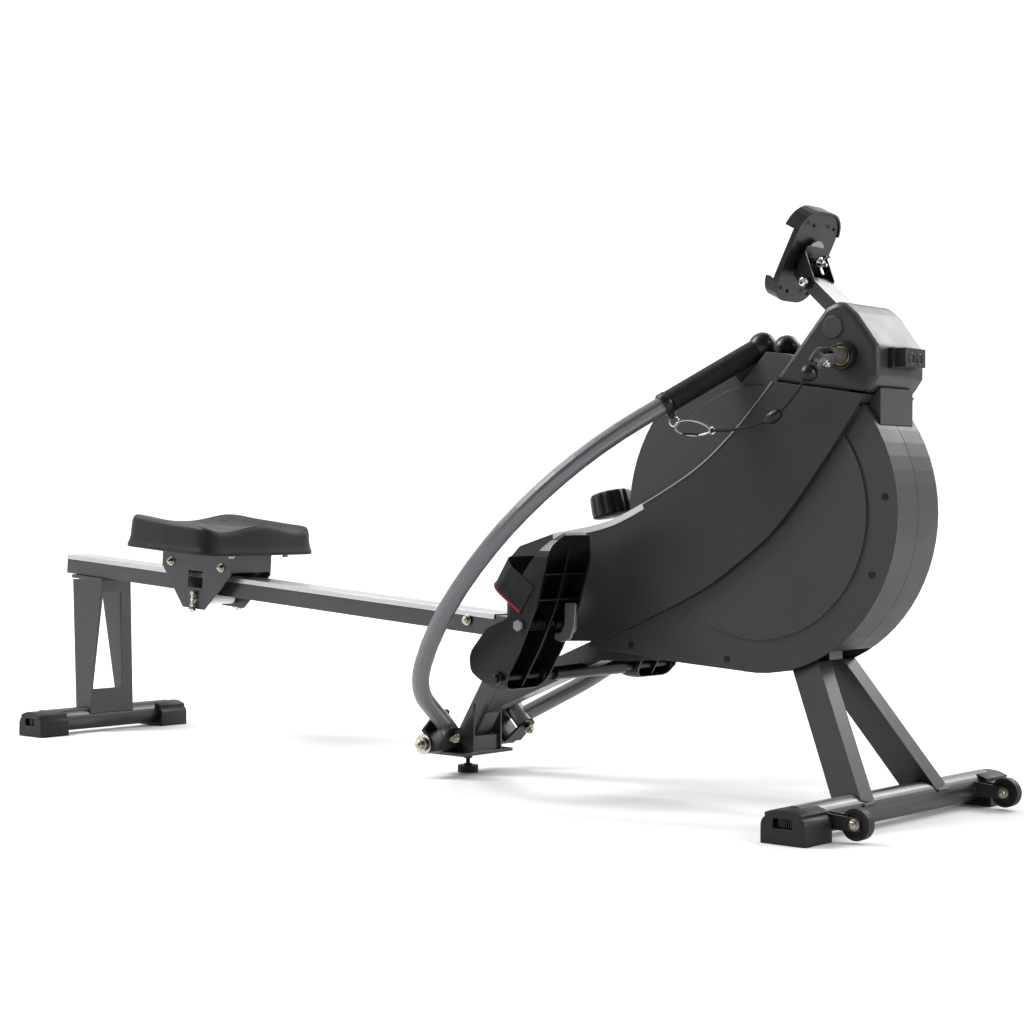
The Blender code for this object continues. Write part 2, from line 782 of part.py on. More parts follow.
def seat_pad():
    """A rounded block, lower at the front middle, over the carriage."""
    frame = rail_frame(CARRIAGE_X + 0.013)
    plan = Frame(frame.point(0, 0), frame.u, frame.w, frame.v)
    length = SEAT_LENGTH / 2
    width = SEAT_WIDTH / 2
    base = CARRIAGE_TOP + GAP
    outline = rounded(
        [
            (-length, -width + 0.010, 0.030),
            (length - 0.012, -width, 0.035),
            (length, -0.045, 0.020),
            (length, 0.045, 0.020),
            (length - 0.012, width, 0.035),
            (-length, width - 0.010, 0.030),
        ]
    )
    pad = slab("seat_pad", plan, outline, base, base + SEAT_THICKNESS, "foam")
    modifier = pad.modifiers.new("soft rim", "BEVEL")
    modifier.width = 0.010
    modifier.segments = 2
    modifier.limit_method = "ANGLE"
    modifier.angle_limit = radians(60)
    return pad


# ---------------------------------------------------------------- swing arms


def arm_centre_line():
    """Points of the arm in its own plane: straights and arcs, one after the other."""
    place = Vector((0.0, 0.0))
    heading = ARM_START_HEADING
    points = [tuple(place)]
    for length, turn in ARM_CHAIN:
        steps = 1 if turn == 0 else max(4, round(abs(turn) / 5))
        for _ in range(steps):
            middle = radians(heading + turn / steps / 2)
            # u points outwards, so the drawing is mirrored left to right
            place += Vector((-cos(middle), sin(middle))) * (length / steps)
            heading += turn / steps
            points.append(tuple(place))
    return points


def sweep(name, points, radius, finish, sides):
    """A closed round bar along a path of world points."""
    points = [Vector(p) for p in points]
    bm = bmesh.new()
    rings = []
    normal = None
    for i, point in enumerate(points):
        before = points[max(i - 1, 0)]
        after = points[min(i + 1, len(points) - 1)]
        tangent = (after - before).normalized()
        if normal is None:
            normal = tangent.orthogonal().normalized()
        normal = (normal - tangent * normal.dot(tangent)).normalized()
        other = tangent.cross(normal)
        ring = []
        for k in range(sides):
            angle = 2 * pi * k / sides
            ring.append(bm.verts.new(point + (normal * cos(angle) + other * sin(angle)) * radius))
        rings.append(ring)
    bm.faces.new(rings[0])
    bm.faces.new(list(reversed(rings[-1])))
    for first, second in zip(rings, rings[1:]):
        for k in range(sides):
            j = (k + 1) % sides
            bm.faces.new((first[k], second[k], second[j], first[j]))
    return add_mesh(name, bm, finish)


def arm_yoke(name, side):
    """A sleeve on the pivot axle with a U bracket that holds the spread pin."""
    frame = arm_frame(side)
    low, high = sorted((side * 0.0710, side * 0.1215))
    yoke = across_rod(name, PIVOT_AXLE, 0.0185, low, high, "black_plastic")
    reach = 0.0215
    plate = 0.004
    u_low, u_high = -0.034, 0.0150
    web = slab(f"{name}_web", frame, rectangle(u_low, -0.042, u_high, -0.034), -reach - plate, reach + plate, "black_plastic")
    join(yoke, web)
    cheek_outline = rounded(
        [(u_low, -0.042, 0), (u_high, -0.042, 0), (0.016, 0.014, 0.010), (-0.020, 0.014, 0.010)]
    )
    for k, (low_w, high_w) in enumerate(((-reach - plate, -reach), (reach, reach + plate))):
        join(yoke, slab(f"{name}_cheek_{k}", frame, cheek_outline, low_w, high_w, "black_plastic"))
    pin = rod(f"{name}_pin", frame.point(0, 0, -0.031), frame.point(0, 0, 0.031), 0.0055, "steel", 16)
    join(yoke, pin)
    bore = across_rod(f"{name}_bore", PIVOT_AXLE, 0.0090 + GAP, -0.2, 0.2, "black_plastic", 24)
    cut(yoke, bore)
    return hinge_at(yoke, (PIVOT_AXLE[0], side * 0.096, PIVOT_AXLE[1]))


def arm_points(side):
    frame = arm_frame(side)
    return [frame.point(a, b) for a, b in arm_centre_line()]


def arm_tube(name, side):
    frame = arm_frame(side)
    tube = sweep(name, arm_points(side), ARM_RADIUS, "arm_paint", 16)
    boss = rod(f"{name}_boss", frame.point(0, 0, -0.0205), frame.point(0, 0, 0.0205), ARM_RADIUS + 0.001, "arm_paint", 24)
    join(tube, boss)
    bore = rod(f"{name}_bore", frame.point(0, 0, -0.04), frame.point(0, 0, 0.04), 0.0055 + GAP, "arm_paint", 16)
    cut(tube, bore)
    return hinge_at(tube, frame.point(0, 0))


def hand_grip(name, side):
    """A foam sleeve over the arm's last straight, closed by a ball."""
    points = arm_points(side)
    end = points[-1]
    along = (end - points[-2]).normalized()
    grip = rod(name, end - along * GRIP_LENGTH, end + along * 0.004, GRIP_RADIUS, "foam", 24)
    knob = ball(f"{name}_ball", end + along * 0.013, BALL_RADIUS, "black_plastic")
    bore = rod(
        f"{name}_bore", end - along * (GRIP_LENGTH + 0.02), end + along * GAP, ARM_RADIUS + GAP, "foam", 24
    )
    join(grip, knob)
    cut(grip, bore)
    return hinge_at(grip, arm_frame(side).point(0, 0))


# ---------------------------------------------------------------- covers


def tail_outline():
    """The lower rear stretch of the disc shell, down to its straight bottom edge."""
    x, z = DISC
    return [
        (0.435, 0.2570),
        (0.612, 0.2405),
        (x, z - DISC_RADIUS),
        (x, z),
        (x - 0.20, z),
        (0.470, 0.3200),
    ]


def band_outline():
    """The band that sweeps up from the rail's end to the head."""
    upper = curve_through(
        [
            (0.364, 0.456),
            (0.471, 0.474),
            (0.546, 0.501),
            (0.670, 0.565),
            (0.745, 0.623),
            (0.803, 0.681),
            (0.830, 0.7105),
        ],
        3,
    )
    lower = curve_through(
        [
            (1.0055, 0.6840),
            (0.942, 0.596),
            (0.845, 0.477),
            (0.764, 0.412),
            (0.670, 0.354),
            (0.472, 0.269),
        ],
        3,
    )
    rear = [(0.300, 0.262), (0.256, 0.285), (0.256, 0.405), (0.286, 0.433)]
    return upper + lower + rear


def head_outline():
    return rounded(
        [
            (0.830, 0.7110, 0),
            (1.006, 0.6845, 0),
            (1.026, 0.7120, 0.010),
            (1.026, 0.7600, 0.020),
            (0.985, 0.8150, 0.030),
            (0.958, 0.8370, 0.025),
            (0.930, 0.8270, 0.025),
        ]
    )


def shell_space(name, low_y, high_y, grow):
    """The disc shell's whole volume, larger all round by grow."""
    disc = slab(name, SIDE_VIEW, circle(DISC, DISC_RADIUS + grow, 72), low_y, high_y, "cover_plastic")
    tail = slab(f"{name}_tail", SIDE_VIEW, offset(tail_outline(), -grow), low_y, high_y, "cover_plastic")
    return join(disc, tail)


def base_tube_space(name):
    half = TUBE_SIZE / 2 + 2 * GAP
    size = TUBE_SIZE + 4 * GAP
    level = bar(name, BASE_TUBE_KNEE, BASE_TUBE_END, size, -half, half, "frame_paint", 0.002)
    rise = bar(f"{name}_rise", BASE_TUBE_START, BASE_TUBE_KNEE, size, -half, half, "frame_paint", 0.0)
    return level, rise


def bottom_opening(name, low_x, high_x, half, low_z, high_z):
    return block(name, (low_x, -half, low_z), (high_x, half, high_z), "cover_plastic")


def side_range(side, low, high):
    return sorted((side * low, side * high))


def grip_rest(name, side, grow):
    """The recess in the shell's rim that the folded grip and its ball lie in."""
    line = [(0.1100, 0.8333), (0.0222, 0.9187), (-0.0020, 0.9165), (-0.0020, 0.9800), (0.1100, 0.9800)]
    outline = [(y - PIN[1], along) for y, along in line]
    return slab(name, arm_frame(side), offset(outline, -grow), -0.090, 0.0262 + grow, "cover_plastic")


def disc_shell(name, side):
    """Half of the disc shell: a tray with a raised inner ring, open at the centre plane."""
    low, high = side_range(side, GAP, SHELL_HALF)
    shell = shell_space(name, low, high, 0.0)
    low, high = side_range(side, SHELL_HALF - 0.002, SHELL_HALF + RING_STEP)
    join(shell, slab(f"{name}_ring", SIDE_VIEW, circle(DISC, RING_RADIUS, 60), low, high, "cover_plastic"))
    low, high = side_range(side, -0.01, SHELL_HALF - WALL)
    cavity = slab(f"{name}_cavity", SIDE_VIEW, circle(DISC, DISC_RADIUS - WALL, 72), low, high, "cover_plastic")
    cut(cavity, grip_rest(f"{name}_rest_wall", side, WALL))
    tail = slab(f"{name}_tail_cavity", SIDE_VIEW, offset(tail_outline(), WALL), low, high, "cover_plastic")
    cut(shell, cavity, tail, grip_rest(f"{name}_rest", side, 0.0))
    cut(shell, bottom_opening(f"{name}_rear_opening", 0.36, 0.72, 0.0215, 0.20, 0.300))
    cut(shell, bottom_opening(f"{name}_leg_opening", 0.815, 0.935, 0.0620, 0.20, 0.275))
    return shell


def side_cover(name, side):
    """Half of the band: a raised skin over the disc shell that closes to the centre plane beyond it."""
    low, high = side_range(side, GAP, BAND_HALF)
    cover = slab(name, SIDE_VIEW, band_outline(), low, high, "cover_plastic")
    low, high = side_range(side, -0.01, BAND_HALF - WALL)
    cavity = slab(f"{name}_cavity", SIDE_VIEW, offset(band_outline(), WALL), low, high, "cover_plastic")
    low, high = side_range(side, -0.02, SHELL_HALF + GAP)
    shell = shell_space(f"{name}_shell", low, high, GAP)
    low, high = side_range(side, -0.02, SHELL_HALF + RING_STEP + GAP)
    ring = slab(f"{name}_ring", SIDE_VIEW, circle(DISC, RING_RADIUS + GAP, 60), low, high, "cover_plastic")
    cut(cover, cavity, shell, ring)
    open_top = slab(
        f"{name}_top",
        SIDE_VIEW,
        [(0.836, 0.700), (0.995, 0.665), (1.000, 0.700), (0.836, 0.730)],
        -BAND_HALF + WALL,
        BAND_HALF - WALL,
        "cover_plastic",
    )
    way_outline = [(0.2, 0.2), (0.46, 0.2), (0.46, 0.290), (0.275, 0.300), (0.275, 0.374), (0.2, 0.374)]
    frame_way = slab(f"{name}_frame_way", SIDE_VIEW, way_outline, -0.034, 0.034, "cover_plastic")
    return cut(cover, open_top, frame_way)


def head_cover():
    """The top housing over the cord outlets, open below."""
    head = slab("head_cover", SIDE_VIEW, head_outline(), -HEAD_HALF, HEAD_HALF, "cover_plastic")
    rim = head.modifiers.new("round rim", "BEVEL")
    rim.width = 0.009
    rim.segments = 2
    rim.limit_method = "ANGLE"
    rim.angle_limit = radians(60)
    inner = HEAD_HALF - WALL
    cavity = slab("head_cavity", SIDE_VIEW, offset(head_outline(), WALL), -inner, inner, "cover_plastic")
    mouth = slab(
        "head_mouth",
        SIDE_VIEW,
        [(0.838, 0.690), (1.000, 0.665), (1.005, 0.700), (0.838, 0.735)],
        -inner,
        inner,
        "cover_plastic",
    )
    reach = SHELL_HALF + GAP
    cut(head, cavity, mouth, shell_space("head_shell", -reach, reach, GAP))
    for side in SIDES.values():
        low, high = side_range(side, 0.05, 0.1)
        cut(head, across_rod(f"head_hole_{side}", SWIVEL, 0.0185 + GAP, low, high, "cover_plastic"))
    return cut(head, holder_arm_space())


def neck_cover():
    """The narrower wedge that fills the front between the disc shell and the head."""
    outline = [(0.900, 0.560), (1.018, 0.560), (1.018, 0.6950), (1.012, 0.6925), (1.0055, 0.6830), (0.900, 0.6980)]
    neck = slab("neck_cover", SIDE_VIEW, outline, -0.050, 0.050, "cover_plastic")
    band = slab("neck_band", SIDE_VIEW, offset(band_outline(), -GAP), -0.1, 0.1, "cover_plastic")
    shell = shell_space("neck_shell", -0.1, 0.1, GAP)
    return cut(neck, band, shell)


def head_bumper():
    """A rubber rest on the front of the head, for when the machine is stored upright."""
    front = 1.0260 + GAP
    bumper = block("head_bumper", (front, -0.031, 0.7285), (1.052, 0.031, 0.7580), "rubber")
    base = block("head_bumper_base", (front, -0.040, 0.7265), (1.034, 0.040, 0.7590), "rubber")
    return join(bumper, base)


def cord_bushing(name, side):
    """The flanged bearing that the swivel turns in."""
    low, high = side_range(side, 0.060, 0.084)
    bushing = across_rod(name, SWIVEL, 0.0185, low, high, "black_plastic")
    low, high = side_range(side, HEAD_HALF + GAP, 0.083)
    join(bushing, across_rod(f"{name}_flange", SWIVEL, 0.0240, low, high, "black_plastic"))
    low, high = side_range(side, 0.05, 0.1)
    return cut(bushing, across_rod(f"{name}_bore", SWIVEL, 0.0130, low, high, "black_plastic"))


def cord_swivel(name, side):
    """A tube through the bushing with a fork at its end that carries the cord's pulley."""
    frame = swivel_frame(side)
    low, high = side_range(side, 0.062, 0.1145)
    swivel = across_rod(name, SWIVEL, 0.0125, low, high, "steel")
    cheek_outline = rounded(
        [(-0.009, 0.1080, 0), (0.0100, 0.1080, 0), (0.0210, 0.1240, 0.005), (0.0210, 0.1480, 0.006), (-0.005, 0.1480, 0.010)]
    )
    fork = Frame(frame.origin, frame.u, frame.w, frame.v)
    for k, (low_w, high_w) in enumerate(((-0.0105, -0.0080), (0.0080, 0.0105))):
        join(swivel, slab(f"{name}_cheek_{k}", fork, cheek_outline, low_w, high_w, "steel"))
    centre = (0.011, CORD_EXIT_Y - 0.011)
    pulley = rod(f"{name}_pulley", fork.point(*centre, -0.0085), fork.point(*centre, 0.0085), 0.0105, "steel", 24)
    join(swivel, pulley)
    low, high = side_range(side, 0.05, 0.118)
    cut(swivel, across_rod(f"{name}_bore", SWIVEL, 0.0060, low, high, "steel", 16))
    return hinge_at(swivel, (SWIVEL[0], side * 0.088, SWIVEL[1]))


def cord_route(side):
    """The pull cord from its stopper ball down to the snap hook on the arm."""
    frame = swivel_frame(side)
    start = frame.point(0.037 + STOPPER_RADIUS + GAP, 0, CORD_EXIT_Y)
    after = [
        (0.9180, 0.1445, 0.6815),
        (0.9020, 0.1470, 0.6640),
        (0.8800, 0.1490, 0.6480),
        (0.8520, 0.1510, 0.6375),
        (0.8200, 0.1530, 0.6310),
        (0.7920, 0.1550, 0.6285),
        (0.7660, 0.1570, 0.6290),
    ]
    return [tuple(start)] + [(x, side * y, z) for x, y, z in after]


def pull_cord(name, side):
    points = curve_through(cord_route(side), 3)
    curve = bpy.data.curves.new(name, "CURVE")
    curve.dimensions = "3D"
    curve.bevel_depth = CORD_RADIUS
    curve.bevel_resolution = 2
    curve.use_fill_caps = True
    spline = curve.splines.new("POLY")
    spline.points.add(len(points) - 1)
    for target, point in zip(spline.points, points):
        target.co = (*point, 1.0)
    curve.materials.append(material("cord"))
    cord = bpy.data.objects.new(name, curve)
    bpy.context.scene.collection.objects.link(cord)
    return cord


# ---------------------------------------------------------------- drive


def flywheel_axle():
    return across_rod("flywheel_axle", DISC, 0.0060, -0.0590, 0.0590, "steel", 20)


def flywheel():
    """The heavy disc with its small belt pulley, on the fixed axle."""
    wheel = across_rod("flywheel", DISC, FLYWHEEL_RADIUS, -0.0240, -0.0080, "cast_iron", 64)
    hub = across_rod("flywheel_hub", DISC, FLYWHEEL_PULLEY_RADIUS, -0.0300, 0.0340, "cast_iron", 28)
    web = hollow_across("flywheel_web", DISC, 0.125, 0.035, -0.0040, 0.0, "cast_iron", 48)
    web_back = hollow_across("flywheel_web_back", DISC, 0.125, 0.035, -0.0320, -0.0200, "cast_iron", 48)
    web.location.y = -0.008
    web_back.location.y = -0.002
    join(wheel, hub)
    cut(wheel, web, web_back)
    bore = across_rod("flywheel_bore", DISC, 0.0060 + GAP, -0.1, 0.1, "cast_iron", 20)
    cut(wheel, bore)
    return hinge_at(wheel, (DISC[0], 0, DISC[1]))


def spool_axle():
    return across_rod("spool_axle", SPOOL, 0.0060, -0.0590, 0.0590, "steel", 20)


def cord_spool():
    """The drum that both cords wind on, with the large belt pulley."""
    spool = across_rod("cord_spool", SPOOL, 0.0300, -0.0500, 0.0340, "black_plastic", 32)
    for k, y in enumerate((-0.0500, -0.0280, -0.0060)):
        flange = across_rod(f"spool_flange_{k}", SPOOL, 0.0420, y, y + 0.003, "black_plastic", 32)
        join(spool, flange)
    join(spool, across_rod("spool_pulley", SPOOL, SPOOL_PULLEY_RADIUS, 0.0200, 0.0330, "black_plastic", 40))
    cut(spool, across_rod("spool_bore", SPOOL, 0.0060 + GAP, -0.1, 0.1, "black_plastic", 20))
    return hinge_at(spool, (SPOOL[0], 0, SPOOL[1]))


def belt_outline(extra):
    """The open belt's path round both pulleys."""
    span = Vector(DISC) - Vector(SPOOL)
    direction = atan2(span.y, span.x) * 180 / pi
    lean = atan((SPOOL_PULLEY_RADIUS - FLYWHEEL_PULLEY_RADIUS) / span.length) * 180 / pi
    big = arc(SPOOL, SPOOL_PULLEY_RADIUS + extra, direction + 90 - lean, direction + 270 + lean, 24)
    small = arc(DISC, FLYWHEEL_PULLEY_RADIUS + extra, direction - 90 + lean, direction + 90 - lean, 12)
    return big + small


def drive_belt():
    belt = slab("drive_belt", SIDE_VIEW, belt_outline(0.0035), 0.0210, 0.0320, "rubber")
    return cut(belt, slab("belt_inside", SIDE_VIEW, belt_outline(0.0007), 0.01, 0.05, "rubber"))


def magnet_arm():
    """A curved shoe of magnets that straddles the flywheel's rim and swings on its upper end."""
    outline = arc(DISC, FLYWHEEL_RADIUS + 0.020, 150, 205, 12)
    outline += arc(DISC, FLYWHEEL_RADIUS - 0.018, 205, 150, 12)
    shoe = slab("magnet_arm", SIDE_VIEW, outline, -0.0340, 0.0020, "cast_iron")
    groove_outline = arc(DISC, FLYWHEEL_RADIUS + 0.006, 140, 215, 14)
    groove_outline += arc(DISC, FLYWHEEL_RADIUS - 0.040, 215, 140, 14)
    groove = slab("magnet_groove", SIDE_VIEW, groove_outline, -0.0280, -0.0040, "cast_iron")
    cut(shoe, groove)
    x, z = magnet_pivot()
    return hinge_at(shoe, (x, -0.016, z))


def magnet_pivot():
    angle = radians(148)
    radius = FLYWHEEL_RADIUS + 0.016
    return (DISC[0] + radius * cos(angle), DISC[1] + radius * sin(angle))


def knob_frame():
    """Origin on the cover under the knob: u and v across it, w along its axis."""
    lean = (-sin(KNOB_LEAN), 0, cos(KNOB_LEAN))
    forward = (cos(KNOB_LEAN), 0, sin(KNOB_LEAN))
    return Frame((KNOB[0], 0, KNOB[1]), forward, (0, 1, 0), lean)


def tension_knob():
    """A scalloped knob on top of the rear cover."""
    frame = knob_frame()
    count = 48
    outline = []
    for i in range(count):
        angle = 2 * pi * i / count
        radius = 0.0335 + 0.0015 * cos(12 * angle)
        outline.append((radius * cos(angle), radius * sin(angle)))
    knob = slab("tension_knob", frame, outline, -0.012, 0.024, "black_plastic")
    skirt = rod("knob_skirt", frame.point(0, 0, -0.0355), frame.point(0, 0, -0.011), 0.0240, "black_plastic", 32)
    join(knob, skirt)
    return hinge_at(knob, frame.point(0, 0, 0))


# ---------------------------------------------------------------- footrests


def footplate_profile():
    """The outer wall's outline: sole side at the back, heel cup at the lower rear."""
    return rounded(
        [
            (0.5070, 0.4550, 0.002),
            (0.5010, 0.4610, 0.002),
            (0.4740, 0.4350, 0.020),
            (0.4340, 0.3860, 0),
            (0.4020, 0.3120, 0.020),
            (0.3560, 0.2950, 0.020),
            (0.3140, 0.2480, 0.030),
            (0.3180, 0.2180, 0.020),
            (0.3600, 0.1880, 0.015),
            (0.3860, 0.1860, 0.010),
            (0.4300, 0.2590, 0),
            (0.4670, 0.3350, 0.080),
            (0.4900, 0.4100, 0.030),
            (0.4950, 0.4370, 0.010),
        ]
    )


def arch_trim(name, side, inset):
    """What lies outside the footplate's outline as its user sees it: a round toe and a rounder heel."""
    inner, outer = FOOT_INNER + inset, FOOT_OUTER - inset
    top, bottom = 0.4640 - inset, 0.1850 + inset
    toe, heel = 0.056 - inset, 0.030 - inset
    outline = arc((inner + toe, top - toe), toe, 180, 90, 8)
    outline += arc((outer - toe, top - toe), toe, 90, 0, 8)
    outline += arc((outer - heel, bottom + heel), heel, 0, -90, 5)
    outline += arc((inner + heel, bottom + heel), heel, -90, -180, 5)
    view = Frame((0.4, 0, 0), (0, side, 0), (0, 0, 1), (1, 0, 0))
    whole = slab(name, view, rectangle(0.08, 0.10, 0.30, 0.55), -0.15, 0.15, "black_plastic")
    return cut(whole, slab(f"{name}_arch", view, outline, -0.2, 0.2, "black_plastic"))


def wall_bosses(name, side, centre, radius):
    """Short bosses inside both side walls, round a shaft."""
    made = []
    for k, (start, end) in enumerate(((FOOT_INNER, FOOT_INNER + 0.012), (FOOT_OUTER - 0.012, FOOT_OUTER))):
        low, high = side_range(side, start, end)
        made.append(across_rod(f"{name}_{k}", centre, radius, low, high, "black_plastic", 20))
    return made


def foot_space(name, side, grow):
    """Where the foot goes: over the sole and down into the heel cup, between the side walls."""
    outline = [(0.365, 0.220), (0.410, 0.312), (0.416, 0.342), (0.330, 0.400), (0.250, 0.330), (0.270, 0.287)]
    low, high = side_range(side, FOOT_INNER + WALL - grow, FOOT_OUTER - WALL + grow)
    return slab(name, SIDE_VIEW, offset(outline, -grow), low, high, "black_plastic")


def footplate(name, side):
    """A ribbed tray with a heel cup, hung on the footrest axle."""
    low, high = side_range(side, FOOT_INNER, FOOT_OUTER)
    plate = slab(name, SIDE_VIEW, footplate_profile(), low, high, "black_plastic")
    low, high = side_range(side, FOOT_INNER + WALL, FOOT_OUTER - WALL)
    shifted = [(a + 0.012, b - 0.004) for a, b in footplate_profile()]
    hollow = slab(f"{name}_hollow", SIDE_VIEW, shifted, low, high, "black_plastic")
    cut(hollow, foot_space(f"{name}_sole", side, 0.0035), arch_trim(f"{name}_inner_arch", side, WALL))
    cut(plate, hollow)
    middle = side * (FOOT_INNER + FOOT_OUTER) / 2
    rib_profile = offset(footplate_profile(), 0.003)
    rib = slab(f"{name}_rib", SIDE_VIEW, rib_profile, middle - 0.002, middle + 0.002, "black_plastic")
    join(plate, rib, *wall_bosses(f"{name}_tunnel", side, FOOT_AXLE, 0.0130))
    join(plate, *wall_bosses(f"{name}_lock_boss", side, LOCK_SHAFT, 0.0110))
    cut(plate, foot_space(f"{name}_foot", side, 0.0), arch_trim(f"{name}_arch", side, 0.0))
    for label, centre, radius in (("axle", FOOT_AXLE, 0.0070), ("lock", LOCK_SHAFT, 0.0050)):
        cut(plate, across_rod(f"{name}_{label}_bore", centre, radius + GAP, -0.3, 0.3, "black_plastic", 20))
    return hinge_at(plate, (FOOT_AXLE[0], side * FOOT_OUTER, FOOT_AXLE[1]))


def footrest_axle():
    """One bar across the frame with a thick middle and a nut at each end."""
    axle = across_rod("footrest_axle", FOOT_AXLE, 0.0070, -FOOT_AXLE_HALF, FOOT_AXLE_HALF, "steel", 20)
    join(axle, across_rod("footrest_sleeve", FOOT_AXLE, 0.0125, -0.100, 0.100, "frame_paint", 28))
    for side in SIDES.values():
        low, high = side_range(side, FOOT_OUTER + 0.0006, FOOT_AXLE_HALF + 0.002)
        join(axle, across_rod(f"footrest_nut_{side}", FOOT_AXLE, 0.0110, low, high, "steel", 6))
    return axle


def lock_lever(name, side):
    """The sprung shaft through a footplate, turned by a flat lever on its inner end."""
    low, high = side_range(side, 0.106, FOOT_OUTER + 0.001)
    lever = across_rod(name, LOCK_SHAFT, 0.0050, low, high, "steel", 20)
    low, high = side_range(side, FOOT_OUTER + 0.0006, FOOT_OUTER + 0.0070)
    join(lever, across_rod(f"{name}_head", LOCK_SHAFT, 0.0100, low, high, "black_plastic", 6))
    x, z = LOCK_SHAFT
    blade_outline = rounded(
        [
            (x - 0.010, z - 0.024, 0.010),
            (x + 0.016, z - 0.016, 0.012),
            (x + 0.016, z + 0.044, 0.006),
            (x - 0.008, z + 0.044, 0.006),
        ]
    )
    low, high = side_range(side, 0.110, 0.116)
    join(lever, slab(f"{name}_blade", SIDE_VIEW, blade_outline, low, high, "frame_paint"))
    return hinge_at(lever, (x, side * 0.113, z))


def foot_strap(name, side):
    """A webbing loop over the instep, fixed to both walls of the footplate."""
    along = Vector((cos(FOOT_SLOPE), sin(FOOT_SLOPE)))
    out = Vector((-sin(FOOT_SLOPE), cos(FOOT_SLOPE)))
    base = Vector((0.4440, 0.3480))
    frame = Frame((base.x, 0, base.y), (0, side, 0), (out.x, 0, out.y), (along.x, 0, along.y))
    outer = FOOT_OUTER + GAP
    inner = FOOT_INNER - GAP
    rise = 0.086
    path = rounded(
        [
            (outer + 0.003, -0.010, 0),
            (outer + 0.003, rise, 0.034),
            (inner - 0.003, rise, 0.034),
            (inner - 0.003, -0.010, 0),
            (inner, -0.010, 0),
            (inner, rise - 0.003, 0.031),
            (outer, rise - 0.003, 0.031),
            (outer, -0.010, 0),
        ],
        5,
    )
    strap = slab(name, frame, path, -0.027, 0.027, "webbing")
    return hinge_at(strap, (FOOT_AXLE[0], side * FOOT_OUTER, FOOT_AXLE[1]))


# ---------------------------------------------------------------- device holder


def holder_arm_bar(name, grow):
    direction = Vector((cos(HOLDER_ARM_ANGLE), sin(HOLDER_ARM_ANGLE)))
    start = Vector(HOLDER_PIVOT) - direction * 0.0
    end = start + direction * 0.105
    half = 0.0290 + grow
    return bar(name, tuple(start), tuple(end), 0.022 + 2 * grow, -half, half, "frame_paint", 0.0)


def holder_arm_space():
    return holder_arm_bar("holder_arm_space", 0.0010)


def holder_arm():
    """The flat tube that rises out of the head, with a rounded end on the tilt bolt."""
    arm = holder_arm_bar("holder_arm", 0.0)
    join(arm, across_rod("holder_arm_end", HOLDER_PIVOT, 0.0110, -0.0290, 0.0290, "frame_paint", 24))
    return cut(arm, across_rod("holder_arm_bore", HOLDER_PIVOT, 0.0040 + GAP, -0.1, 0.1, "frame_paint", 16))


def tilt_bracket():
    """A U bracket on the arm's tilt bolt, with the stud that the back plate turns on."""
    frame = holder_frame()
    bracket = slab("tilt_bracket", frame, rectangle(-0.0325, -0.030, 0.0325, 0.024), 0.0085, 0.0115, "black_plastic")
    pivot = Vector((HOLDER_PIVOT[0], 0, HOLDER_PIVOT[1])) - frame.origin
    pivot_v = pivot.dot(frame.v)
    pivot_w = pivot.dot(frame.w)
    ear_outline = rounded(
        [
            (0.016, 0.0090, 0),
            (-0.028, 0.0090, 0),
            (pivot_v - 0.012, pivot_w - 0.004, 0.008),
            (pivot_v - 0.008, pivot_w + 0.012, 0.008),
            (pivot_v + 0.012, pivot_w + 0.010, 0.008),
        ]
    )
    ear_frame = Frame(frame.origin, frame.v, frame.w, frame.u)
    for side in SIDES.values():
        low, high = side_range(side, 0.0298, 0.0325)
        join(bracket, slab(f"tilt_ear_{side}", ear_frame, ear_outline, low, high, "black_plastic"))
    join(bracket, across_rod("tilt_bolt", HOLDER_PIVOT, 0.0040, -0.0370, 0.0370, "steel", 16))
    for side in SIDES.values():
        low, high = side_range(side, 0.0320, 0.0375)
        join(bracket, across_rod(f"tilt_nut_{side}", HOLDER_PIVOT, 0.0070, low, high, "steel", 12))
    stud = rod("holder_stud", frame.point(0, 0, -0.006), frame.point(0, 0, 0.0200), 0.0035, "steel", 16)
    wing = slab("holder_wing", frame, rounded([(-0.012, -0.004, 0.003), (0.012, -0.004, 0.003), (0.012, 0.004, 0.003), (-0.012, 0.004, 0.003)]), 0.0135, 0.0185, "steel")
    join(bracket, stud, wing)
    return hinge_at(bracket, (HOLDER_PIVOT[0], 0, HOLDER_PIVOT[1]))


def holder_rim(grow):
    """The back plate's outline with round ends."""
    width = HOLDER_HALF_WIDTH - grow
    length = HOLDER_HALF_LENGTH - grow
    corner = 0.040 - grow
    return rounded(
        [(-width, -length, corner), (width, -length, corner), (width, length, corner), (-width, length, corner)],
        6,
    )


def holder_plate():
    """The back plate with its fixed lower lip and the turning disc on its back."""
    frame = holder_frame()
    plate = slab("holder_plate", frame, holder_rim(0.0), -0.0260, 0.0, "black_plastic")
    above = slab("holder_above", frame, rectangle(-0.1, -0.045, 0.1, 0.1), -0.04, -0.0100, "black_plastic")
    pocket = slab("holder_pocket", frame, holder_rim(0.005), -0.0220, -0.0098, "black_plastic")
    window = slab("holder_window", frame, holder_rim(0.011), -0.0400, -0.0200, "black_plastic")
    disc = rod("holder_disc", frame.point(0, 0, -0.001), frame.point(0, 0, 0.0080), 0.0260, "frame_paint", 32)
    cut(plate, above, pocket, window)
    join(plate, disc)
    groove = slab("holder_groove", frame, rectangle(-0.0204, 0.020, 0.0204, 0.1), -0.0085, -0.0045, "black_plastic")
    stud_hole = rod("holder_stud_hole", frame.point(0, 0, -0.05), frame.point(0, 0, 0.05), 0.0035 + GAP, "black_plastic", 20)
    cut(plate, groove, stud_hole)
    return hinge_at(plate, frame.point(0, 0, 0))


